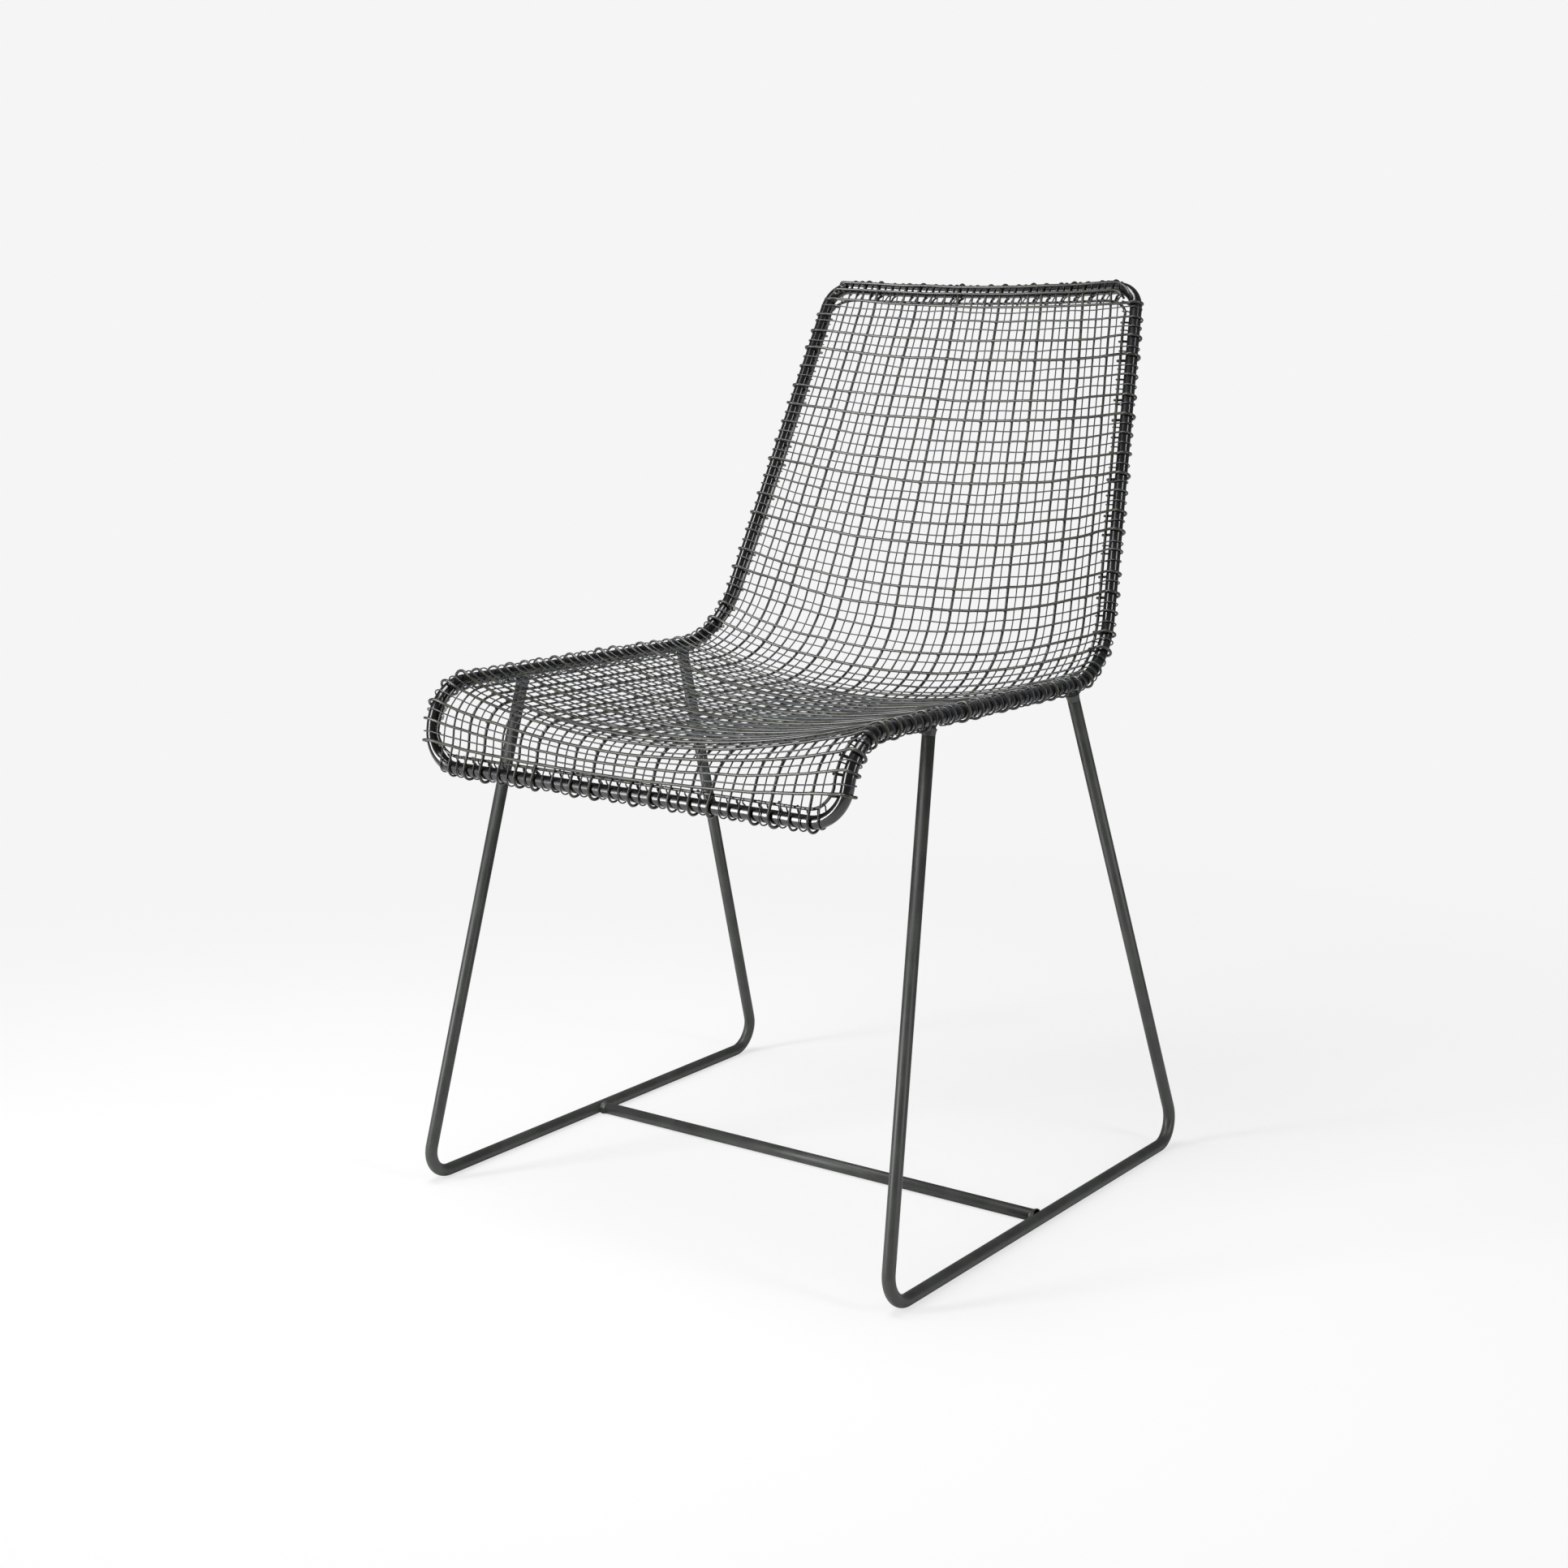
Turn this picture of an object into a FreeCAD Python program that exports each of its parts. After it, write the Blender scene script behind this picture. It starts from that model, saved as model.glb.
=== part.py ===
"""Wire mesh lounge dining chair: a bent rod rim carries a dished shell of crossed wires, on two sled legs.

Millimetres, +Z up, +X to the sitter's left, the sitter looks along -Y.
The origin is on the floor, under the middle of the chair.
"""
import FreeCAD, Part
import Sketcher
import math
import os

from FreeCAD import Placement, Rotation, Vector

doc = FreeCAD.newDocument("wire_mesh_chair")
sheet = doc.addObject("Spreadsheet::Sheet", "Sizes")

# Driving sizes: name, value in millimetres or a plain number, what it is
SIZES = [
    ("rim_rod_diameter", 11.0, "rod round the shell"),
    ("leg_rod_diameter", 11.0, "rod of the two sled legs"),
    ("stretcher_diameter", 11.0, "rod between the sleds"),
    ("heavy_wire", 2.6, "wire diameter of every sixth strand"),
    ("medium_wire", 1.9, "wire diameter halfway between two heavy strands"),
    ("fine_wire", 1.35, "wire diameter opposite the medium strand"),
    ("light_wire", 0.9, "wire diameter of every second strand"),
    ("seat_back_height", 452.5, "rim centre above the floor where seat and back would meet"),
    ("seat_front_height", 457.5, "rim centre above the floor at the front corner"),
    ("back_top_height", 792.0, "rim centre above the floor at the top corners"),
    ("front_rim_height", 390.5, "centre of the low front rim above the floor"),
    ("back_top_reach", 265.0, "top corners behind the origin"),
    ("seat_back_reach", 132.0, "meeting of seat and back behind the origin"),
    ("seat_front_reach", 260.0, "front corner ahead of the origin"),
    ("front_rim_reach", 272.5, "low front rim ahead of the origin"),
    ("back_top_half_width", 168.0, "rim centre at the top corners"),
    ("seat_back_half_width", 214.5, "rim centre where seat and back meet"),
    ("seat_front_half_width", 216.0, "rim centre at the front corners"),
    ("front_rim_half_width", 213.0, "rim centre at the low front corners"),
    ("back_bend_radius", 80.0, "rim bend between back and seat"),
    ("front_bend_radius", 42.0, "rim bend between seat and front lip"),
    ("top_corner_radius", 25.0, "rim corners at the top"),
    ("low_corner_radius", 32.0, "rim corners at the bottom of the lip"),
    ("top_rim_bow", 9.5, "how far the top rim bows backwards at its middle"),
    ("seat_sag", 38.0, "shell below the rim in the middle of the seat"),
    ("front_sag", 24.0, "shell below the rim in the middle of the front edge"),
    ("back_dish", 20.0, "extra setback of the shell's middle where seat and back meet"),
    ("lumbar_height", 617.5, "height of the lumbar turn in the middle of the shell"),
    ("lumbar_dish", 19.0, "shell behind the rim at the lumbar turn"),
    ("inner_bend_setback", 73.0, "length of the shell's middle bend along each leg of its corner"),
    ("inner_front_setback", 21.0, "the same at the front edge"),
    ("lumbar_setback", 75.0, "the same at the lumbar turn"),
    ("edge_wire_inset", 10.0, "inner edge wire inside the rim's centre line"),
    ("strand_spread", 0.12, "share by which the middle strands open out at the bend"),
    ("first_cross_wire", 22.1, "first cross wire below the top rim, along the rim"),
    ("first_seat_wire", 10.6, "first cross wire of the seat past the end of the rim bend, along the rim"),
    ("first_lip_wire", 11.8, "first cross wire of the lip past the start of the front bend, along the rim"),
    ("last_cross_wire", 24.7, "last cross wire above the low front rim, along the rim"),
    ("top_heavy_wire_rise", 2.5, "heavy wire along the top rim above the rim's centre line"),
    ("top_medium_wire_drop", 4.5, "medium wire along the top rim below the rim's centre line"),
    ("wire_seat", 0.1, "clearance between a wire and the wire or rod it lies on"),
    ("sled_half_width", 247.6, "floor rail centre at the floor"),
    ("sled_front_reach", 259.0, "front floor corner of a sled ahead of the origin"),
    ("sled_rear_reach", 236.8, "rear floor corner of a sled behind the origin"),
    ("front_leg_top_reach", 151.2, "front leg top ahead of the origin"),
    ("rear_leg_top_reach", 75.3, "rear leg top behind the origin"),
    ("sled_corner_radius", 24.0, "floor bends of a sled"),
    ("leg_top_inset", 2.0, "leg centre inside the rim's centre line at the top"),
    ("leg_top_drop", 3.0, "leg end below the rim's centre line"),
    ("stretcher_reach", 16.3, "stretcher ahead of the origin"),
    ("weld_bead", 1.7, "how far a weld bead stands out from its rod"),
    ("weld_length", 6.0, "length of a weld bead along its rod"),
    ("weld_seat", 0.1, "clearance of a weld bead over the rods it joins"),
]

STRAND_COUNT = 42
REPEAT = 6
BACK_WIRE_COUNT = 42
SEAT_WIRE_COUNT = 30
LIP_WIRE_COUNT = 8
HEAVY, MEDIUM, FINE, LIGHT = "heavy", "medium", "fine", "light"


def fill_sheet():
    """Writes every driving size into the sheet, as text, and gives it its alias."""
    for row, (name, value, note) in enumerate(SIZES, start=1):
        sheet.set(f"A{row}", note)
        sheet.set(f"B{row}", str(value))
        sheet.setAlias(f"B{row}", name)
    doc.recompute()


def size(name):
    """A driving size as a plain number."""
    return float(getattr(sheet, name))


# Vector helpers

def mix(first, second, share):
    """The point at a share of the way from the first to the second."""
    return first + (second - first) * share


def unit(vector):
    """The same direction at length one."""
    return vector / vector.Length


def mirrored(points):
    """The same points on the other side of the chair."""
    return [Vector(-p.x, p.y, p.z) for p in points]


def turn_at(before, corner, after):
    """The angle by which a path turns at a corner, in radians."""
    return unit(corner - before).getAngle(unit(after - corner))


def arc_point(start, corner, end, share):
    """A point on the circular arc that leaves start and reaches end, both tangent to the corner's legs."""
    turn = turn_at(start, corner, end)
    if turn < 1e-4:
        return mix(start, end, share)
    setback = (corner - start).Length
    radius = setback / math.tan(turn / 2)
    centre = corner + unit((start + end) / 2 - corner) * (radius / math.cos(turn / 2))
    from_start = (start - centre) * math.sin((1 - share) * turn)
    from_end = (end - centre) * math.sin(share * turn)
    return centre + (from_start + from_end) / math.sin(turn)


def closed_path(corners, radii):
    """A closed wire of straight runs joined by tangent arcs, from halfway along its last run."""
    middle = mix(corners[-1], corners[0], 0.5)
    points = [middle] + list(corners) + [middle]
    edges = []
    start = middle
    for before, corner, after, radius in zip(points, points[1:], points[2:], radii):
        setback = radius * math.tan(turn_at(before, corner, after) / 2)
        arc_start = corner + unit(before - corner) * setback
        arc_end = corner + unit(after - corner) * setback
        edges.append(Part.LineSegment(start, arc_start).toShape())
        halfway = arc_point(arc_start, corner, arc_end, 0.5)
        edges.append(Part.Arc(arc_start, halfway, arc_end).toShape())
        start = arc_end
    edges.append(Part.LineSegment(start, middle).toShape())
    return Part.Wire(edges)


def round_rod(path, diameter):
    """A round rod along a path of lines and arcs."""
    start = path.OrderedEdges[0]
    centre = start.valueAt(start.FirstParameter)
    along = start.tangentAt(start.FirstParameter)
    profile = Part.Wire(Part.makeCircle(diameter / 2, centre, along))
    return path.makePipeShell([profile], True, True)


def flat_face(corners):
    """A plane face through its corners, which run anticlockwise as seen from outside."""
    return Part.Face(Part.makePolygon(corners + [corners[0]]))


def mitred_bar(points, diameter, sides, facing):
    """A bar of the wire's section area along points, with one flat towards facing and mitred turns."""
    first = unit(points[1] - points[0])
    facing = unit(facing - first * facing.dot(first))
    other = first.cross(facing)
    reach = diameter / 2 * math.sqrt(2 * math.pi / (sides * math.sin(2 * math.pi / sides)))
    angles = [2 * math.pi * (step + 0.5) / sides for step in range(sides)]
    ring = [points[0] + facing * (reach * math.cos(a)) + other * (reach * math.sin(a)) for a in angles]
    rings = [ring]
    for index in range(1, len(points)):
        along = unit(points[index] - points[index - 1])
        onward = along
        if index < len(points) - 1:
            onward = unit(points[index + 1] - points[index])
        plane = unit(along + onward)
        ring = [p + along * ((points[index] - p).dot(plane) / along.dot(plane)) for p in ring]
        rings.append(ring)
    faces = [flat_face(rings[0][::-1]), flat_face(rings[-1])]
    for ring, following in zip(rings, rings[1:]):
        for k in range(sides):
            after = (k + 1) % sides
            faces.append(flat_face([ring[k], ring[after], following[after], following[k]]))
    return Part.Solid(Part.Shell(faces))


def hook(centre, start, outward, radius, corners):
    """Points of a wire bent round a rod in turns of sixty degrees, from its start side over its outside."""
    sixth = math.pi / 3
    points = [centre + start * radius]
    for index in range(corners):
        angle = sixth * (index + 0.5)
        arm = radius / math.cos(sixth / 2)
        points.append(centre + start * (arm * math.cos(angle)) + outward * (arm * math.sin(angle)))
    last = sixth * corners
    points.append(centre + start * (radius * math.cos(last)) + outward * (radius * math.sin(last)))
    return points


# The shell's form

def rim_corners():
    """The corners of the rim's centre line on the sitter's left, from the top rim to the low front rim."""
    rim = [
        Vector(size("back_top_half_width"), size("back_top_reach"), size("back_top_height")),
        None,
        Vector(size("seat_back_half_width"), size("seat_back_reach"), size("seat_back_height")),
        Vector(size("seat_front_half_width"), -size("seat_front_reach"), size("seat_front_height")),
        Vector(size("front_rim_half_width"), -size("front_rim_reach"), size("front_rim_height")),
    ]
    lumbar_share = (rim[0].z - size("lumbar_height")) / (rim[0].z - rim[2].z)
    rim[1] = mix(rim[0], rim[2], lumbar_share)
    return rim


def sitter_normal(along):
    """The direction square to a run of the shell that points at the sitter."""
    return unit(Vector(0, along.z, -along.y))


def lifted(corners, lift):
    """The corners of a side profile moved by a lift towards the sitter, kept parallel on every run."""
    normals = [sitter_normal(after - before) for before, after in zip(corners, corners[1:])]
    moved = []
    for index, corner in enumerate(corners):
        before = normals[max(index - 1, 0)]
        after = normals[min(index, len(normals) - 1)]
        moved.append(corner + (before + after) * (lift / (1 + before.dot(after))))
    return moved


fill_sheet()
ROD = size("rim_rod_diameter") / 2
RIM = rim_corners()
TOP, LUMBAR, BEND, FRONT, LOW = range(5)
SEAT_INDEX = 4
BACK_NORMAL = sitter_normal(RIM[BEND] - RIM[TOP])

# Contact surface at the rim: the sitter's side of the rod, a seat clearance above it
RIM_FACE = lifted(RIM, ROD + size("wire_seat"))
RIM_SETBACKS = [
    size("lumbar_setback"),
    (size("back_bend_radius") - ROD) * math.tan(turn_at(RIM_FACE[TOP], RIM_FACE[BEND], RIM_FACE[FRONT]) / 2),
    (size("front_bend_radius") + ROD) * math.tan(turn_at(RIM_FACE[BEND], RIM_FACE[FRONT], RIM_FACE[LOW]) / 2),
]

# Contact surface in the middle of the chair
MIDDLE_FACE = [
    RIM_FACE[TOP] - BACK_NORMAL * size("top_rim_bow"),
    RIM_FACE[LUMBAR] - BACK_NORMAL * size("lumbar_dish"),
    RIM_FACE[BEND] + Vector(0, size("back_dish"), -size("seat_sag")),
    RIM_FACE[FRONT] - Vector(0, 0, size("front_sag")),
    RIM_FACE[LOW],
]
MIDDLE_SETBACKS = [size("lumbar_setback"), size("inner_bend_setback"), size("inner_front_setback")]

# How flat the dish is across the chair at each corner: 2 is a parabola, more is flatter with steeper sides
DISH_POWERS = [2.0, 3.3, 2.0, 2.0, 2.0]
# Share of the strands' spread at each corner
SPREAD_SHARES = [0.0, 0.6, 1.0, 0.8, 0.25]


def strand(share):
    """Corners and setbacks of a strand from top to lip; share runs from -1 to 1 between the edge wires."""
    corners = []
    inset = size("edge_wire_inset")
    for face, middle, power, spread in zip(RIM_FACE, MIDDLE_FACE, DISH_POWERS, SPREAD_SHARES):
        opened = 1 + size("strand_spread") * spread * (1 - share * share)
        across = (face.x - inset) * share * opened
        dish = 1 - abs(across / face.x) ** power
        point = mix(face, middle, dish)
        corners.append(Vector(across, point.y, point.z))
    across_share = (1 - inset / RIM_FACE[BEND].x) * share
    dish = 1 - across_share * across_share
    setbacks = [a + (b - a) * dish for a, b in zip(RIM_SETBACKS, MIDDLE_SETBACKS)]
    return corners, setbacks


def rim_strand(side):
    """The same for the line along which the cross wires lie on the rim; side is -1 or 1."""
    return [Vector(side * p.x, p.y, p.z) for p in RIM_FACE], RIM_SETBACKS


def stretches(corners, setbacks):
    """The seven stretches of a strand: straight runs, and corner triples for the arcs between them."""
    found = []
    start = corners[0]
    for index, setback in enumerate(setbacks, start=1):
        before, corner, after = corners[index - 1], corners[index], corners[index + 1]
        arc_start = corner + unit(before - corner) * setback
        arc_end = corner + unit(after - corner) * setback
        found.append((start, arc_start))
        found.append((arc_start, corner, arc_end))
        start = arc_end
    found.append((start, corners[-1]))
    return found


def on_stretch(stretch, share):
    """A point at a share of the way along one stretch."""
    if len(stretch) == 2:
        return mix(stretch[0], stretch[1], share)
    return arc_point(*stretch, share)


def stretch_length(stretch):
    """The length of a straight run or of an arc."""
    if len(stretch) == 2:
        return (stretch[1] - stretch[0]).Length
    start, corner, end = stretch
    turn = turn_at(start, corner, end)
    if turn < 1e-4:
        return (end - start).Length
    return (corner - start).Length / math.tan(turn / 2) * turn


RIM_LENGTHS = [stretch_length(s) for s in stretches(*rim_strand(1))]
RIM_BACK = sum(RIM_LENGTHS[:SEAT_INDEX])
RIM_SEAT = sum(RIM_LENGTHS[:SEAT_INDEX + 1])
RIM_WHOLE = sum(RIM_LENGTHS)


def station(a_strand, distance):
    """Where the cross wire at a distance along the rim meets a strand: the stretch, and the share of it.

    Down the back the wires hang lower and lower towards the middle, so that on the seat they run
    straight across. In front they close up where the lip is shallower.
    """
    own = [stretch_length(s) for s in stretches(*a_strand)]
    own_back = sum(own[:SEAT_INDEX])
    own_seat = own_back + own[SEAT_INDEX]
    if distance <= RIM_BACK:
        left = distance + (own_back - RIM_BACK) * (distance / RIM_BACK) ** 2
    elif distance <= RIM_SEAT:
        left = own_back + (distance - RIM_BACK) * own[SEAT_INDEX] / RIM_LENGTHS[SEAT_INDEX]
    else:
        left = own_seat + (distance - RIM_SEAT) * sum(own[SEAT_INDEX + 1:]) / (RIM_WHOLE - RIM_SEAT)
    index = 0
    while left > own[index] and index < len(own) - 1:
        left -= own[index]
        index += 1
    return index, left / own[index]


def face_point(a_strand, distance):
    """The contact point of a cross wire with a strand, and the direction there that points at the sitter."""
    index, share = station(a_strand, distance)
    stretch = stretches(*a_strand)[index]
    step = 0.01
    point = on_stretch(stretch, share)
    along = on_stretch(stretch, share + step) - on_stretch(stretch, share - step)
    return point, sitter_normal(along)


# Frame

# Share of each half of the top rim that its bow takes up
BOW_SHARE = 0.78


def bow_corner(corner):
    """The middle corner of a top run and the radius of the arc there that gives the run its bow."""
    middle = Vector(0, corner.y, corner.z) - BACK_NORMAL * (size("top_rim_bow") / (1 - BOW_SHARE / 2))
    other = Vector(-corner.x, corner.y, corner.z)
    setback = BOW_SHARE * (corner - middle).Length
    return middle, setback / math.tan(turn_at(corner, middle, other) / 2)


def rim_loop(corners, radii):
    """A closed path through the corners of the left side, the bowed top run and the same on the right."""
    left = [corners[LOW], corners[FRONT], corners[BEND], corners[TOP]]
    middle, bow_radius = bow_corner(corners[TOP])
    return closed_path(left + [middle] + mirrored(left[::-1]), radii + [bow_radius] + radii[::-1])


def make_rim_rod():
    """One rod, bent round the shell, with its ends butted in the middle of the low front rim."""
    names = ["low_corner_radius", "front_bend_radius", "back_bend_radius", "top_corner_radius"]
    return round_rod(rim_loop(RIM, [size(name) for name in names]), size("rim_rod_diameter"))


def make_inner_edge_wire():
    """A heavy wire just inside the rim: level with the long wires at the sides, behind them at both ends."""
    heavy, inset = size("heavy_wire"), size("edge_wire_inset")
    corners, setbacks = strand(1)
    corners = lifted(corners, -(heavy / 2 + size("wire_seat")))
    top_run = unit(corners[LUMBAR] - corners[TOP])
    low_run = unit(corners[FRONT] - corners[LOW])
    behind = heavy + size("wire_seat")
    corners[TOP] = corners[TOP] + top_run * (inset + heavy) - sitter_normal(top_run) * behind
    corners[LOW] = corners[LOW] + low_run * inset - sitter_normal(low_run * -1) * behind
    bend_turn = turn_at(corners[TOP], corners[BEND], corners[FRONT])
    front_turn = turn_at(corners[BEND], corners[FRONT], corners[LOW])
    radii = [
        size("low_corner_radius") - inset / 2,
        setbacks[2] / math.tan(front_turn / 2),
        setbacks[1] / math.tan(bend_turn / 2),
        size("top_corner_radius") - inset / 2,
    ]
    return round_rod(rim_loop(corners, radii), heavy)


def corner_inset(distance):
    """How far the rounded rim corners carry the rim's centre line inwards, at a distance along the rim."""
    left_over = RIM_WHOLE - distance
    top_turn = turn_at(RIM[BEND], RIM[TOP], bow_corner(RIM[TOP])[0])
    low_turn = turn_at(RIM[FRONT], RIM[LOW], mirrored([RIM[LOW]])[0])
    inset = 0
    for radius, turn, reach in (
        (size("top_corner_radius"), top_turn, distance),
        (size("low_corner_radius"), low_turn, left_over),
    ):
        over = max(radius * math.tan(turn / 2) - reach, 0)
        inset += radius - math.sqrt(radius * radius - over * over)
    return inset


# Wires of the shell

SIDES = {HEAVY: 4, MEDIUM: 4, FINE: 4, LIGHT: 3}
SIDE_HOOKS = {HEAVY: 4, MEDIUM: 2, FINE: 2, LIGHT: 1}
END_HOOKS = {HEAVY: 4, MEDIUM: 2, FINE: 2, LIGHT: 2}
BACK_PATTERN = [HEAVY, LIGHT, FINE, LIGHT, MEDIUM, LIGHT]
STRAND_PATTERN = [HEAVY, LIGHT, MEDIUM, LIGHT, FINE, LIGHT]
LIP_PATTERN = [HEAVY, LIGHT, MEDIUM, LIGHT]
HEAVY_SHARES = [2 * REPEAT * k / STRAND_COUNT - 1 for k in range(1, STRAND_COUNT // REPEAT)]
BEND_STEPS = 4
FRONT_STEPS = 3


def wire_size(gauge):
    """The diameter of a gauge of wire."""
    return size(gauge + "_wire")


def leg_stations():
    """Distances along the rim at which the leg tops meet it."""
    from_origin = RIM_BACK + stretches(*rim_strand(1))[SEAT_INDEX][0].y
    return [from_origin - size("rear_leg_top_reach"), from_origin + size("front_leg_top_reach")]


def make_cross_wire(distance, gauge):
    """A wire across the shell on its sitter's side, hooked round the rim at both ends."""
    diameter = wire_size(gauge)
    lift = diameter / 2 + size("wire_seat") / 2
    near_leg = min(abs(distance - s) for s in leg_stations())
    leg_room = size("leg_rod_diameter") / 2 + size("weld_bead") + diameter
    corners = 1 if near_leg < leg_room else SIDE_HOOKS[gauge]
    inner = []
    for share in HEAVY_SHARES[len(HEAVY_SHARES) // 2:]:
        point, normal = face_point(strand(share), distance)
        inner.append(point + normal * lift)
    face, normal = face_point(rim_strand(1), distance)
    before, _ = face_point(rim_strand(1), distance - 0.5)
    along = unit(face - before)
    outward = unit(Vector(1, 0, 0) - along * along.x)
    normal = unit(normal - outward * normal.dot(outward))
    centre = face - normal * (ROD + size("wire_seat")) - outward * corner_inset(distance)
    radius = ROD + size("wire_seat") + lift
    ends = hook(centre, normal, outward, radius, corners)
    half = inner + ends
    points = mirrored(reversed(half)) + half
    facing = mirrored([centre])[0] - points[0]
    return mitred_bar(points, diameter, SIDES[gauge], facing)


def bend_points(stretch, steps, outside):
    """Corners of a chain of straight runs round an arc: on it, or outside it with each run touching it."""
    if not outside:
        return [on_stretch(stretch, k / steps) for k in range(steps + 1)]
    start, corner, end = stretch
    turn = turn_at(start, corner, end)
    centre_gap = (corner - start).Length / math.tan(turn / 2) / math.cos(turn / 2)
    centre = corner + unit((start + end) / 2 - corner) * centre_gap
    grow = 1 / math.cos(turn / 2 / steps)
    return [centre + (on_stretch(stretch, (k + 0.5) / steps) - centre) * grow for k in range(steps)]


def make_long_wire(index, gauge):
    """A wire from the top rim down the back, over the seat and down the lip, behind the cross wires."""
    diameter = wire_size(gauge)
    drop = diameter / 2 + size("wire_seat") / 2
    corners, setbacks = strand(2 * index / STRAND_COUNT - 1)
    found = stretches(lifted(corners, -drop), setbacks)
    top_run = unit(found[0][1] - found[0][0])
    low_run = unit(found[6][1] - found[6][0])
    clear = 3 * size("rim_rod_diameter") / 2
    body = [found[0][0] + top_run * clear]
    body.append(on_stretch(found[1], 0.5))
    body += bend_points(found[3], BEND_STEPS, True)
    body += bend_points(found[5], FRONT_STEPS, False)
    body.append(found[6][1] - low_run * clear)
    radius = ROD + size("wire_seat") + diameter / 2 + size("wire_seat")
    top_normal = sitter_normal(top_run)
    low_normal = sitter_normal(low_run)
    top_centre = found[0][0] + top_normal * (drop - ROD - size("wire_seat"))
    low_centre = found[6][1] + low_normal * (drop - ROD - size("wire_seat"))
    top_hook = hook(top_centre, top_normal, top_run * -1, radius, END_HOOKS[gauge])
    low_hook = hook(low_centre, low_normal, low_run, radius, END_HOOKS[gauge])
    points = top_hook[::-1] + body + low_hook
    # The flat side of the bar faces the rod, and further on the cross wires
    return mitred_bar(points, diameter, SIDES[gauge], points[0] - top_centre)


def make_top_rim_wire(gauge, above):
    """A wire along the sitter's side of the top rim, over the long wires, at a height on the rim."""
    diameter = wire_size(gauge)
    up = RIM[TOP] - RIM[BEND]
    up = unit(Vector(0, up.y, up.z))
    over_hooks = ROD + size("heavy_wire") + 3 * size("wire_seat")
    lean = min(above, 0) * size("heavy_wire") / (3 * ROD)
    offset = BACK_NORMAL * (over_hooks + diameter / 2 + lean) + up * above
    points = []
    for share in [-1] + HEAVY_SHARES + [1]:
        corners, _ = strand(share)
        centre = corners[TOP] - BACK_NORMAL * (ROD + size("wire_seat"))
        points.append(centre + offset)
    return mitred_bar(points, diameter, SIDES[gauge], BACK_NORMAL * -1)


def cross_wire_plan():
    """Every cross wire as its distance along the rim, its gauge and its zone; each zone is evenly filled."""
    seat_from = RIM_BACK + size("first_seat_wire")
    lip_from = RIM_SEAT + size("first_lip_wire")
    lip_to = RIM_WHOLE - size("last_cross_wire")
    zones = (
        ("back", size("first_cross_wire"), seat_from, BACK_WIRE_COUNT, BACK_WIRE_COUNT, BACK_PATTERN),
        ("seat", seat_from, lip_from, SEAT_WIRE_COUNT, SEAT_WIRE_COUNT, BACK_PATTERN),
        ("lip", lip_from, lip_to, LIP_WIRE_COUNT, LIP_WIRE_COUNT - 1, LIP_PATTERN),
    )
    plan = []
    for zone, start, end, wires, gaps, pattern in zones:
        for step in range(wires):
            distance = start + (end - start) * step / gaps
            plan.append((distance, pattern[(step + 1) % len(pattern)], zone))
    return plan


# Objects of the document

parts = {}


def add_feature(name, shape):
    """A sub-part whose shape is worked out above, with a placement of its own."""
    feature = doc.addObject("Part::Feature", name)
    feature.Label = name
    feature.Shape = shape
    feature.Placement = Placement(Vector(0, 0, 0), Rotation())
    parts[name] = feature


def rim_at(reach):
    """The rim's centre line on the seat side, at a distance behind the origin."""
    share = (RIM[BEND].y - reach) / (RIM[BEND].y - RIM[FRONT].y)
    return mix(RIM[BEND], RIM[FRONT], share)


FRONT_TOP = rim_at(-size("front_leg_top_reach"))
REAR_TOP = rim_at(size("rear_leg_top_reach"))
FLOOR_RAIL_HEIGHT = size("leg_rod_diameter") / 2
LEG_TOP_X = (FRONT_TOP.x + REAR_TOP.x) / 2 - size("leg_top_inset")
LEG_TOP_RISE = (FRONT_TOP.z + REAR_TOP.z) / 2 - FLOOR_RAIL_HEIGHT
LEG_LEAN = math.atan((size("sled_half_width") - LEG_TOP_X) / LEG_TOP_RISE)


def upward_on(side):
    """The direction up a sled's plane, which leans towards the seat."""
    return Vector(-side * math.sin(LEG_LEAN), 0, math.cos(LEG_LEAN))


def rise_on_plane(top):
    """How far up the leaning plane a leg's end lies, for a point on the rim above it."""
    return (top.z - size("leg_top_drop") - FLOOR_RAIL_HEIGHT) / math.cos(LEG_LEAN)


def add_dimension(sketch, kind, places, value, name, expression):
    """A sketch dimension bound to the sheet."""
    index = sketch.addConstraint(Sketcher.Constraint(kind, *places, value))
    sketch.renameConstraint(index, name)
    if expression:
        sketch.setExpression("Constraints." + name, expression)


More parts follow.
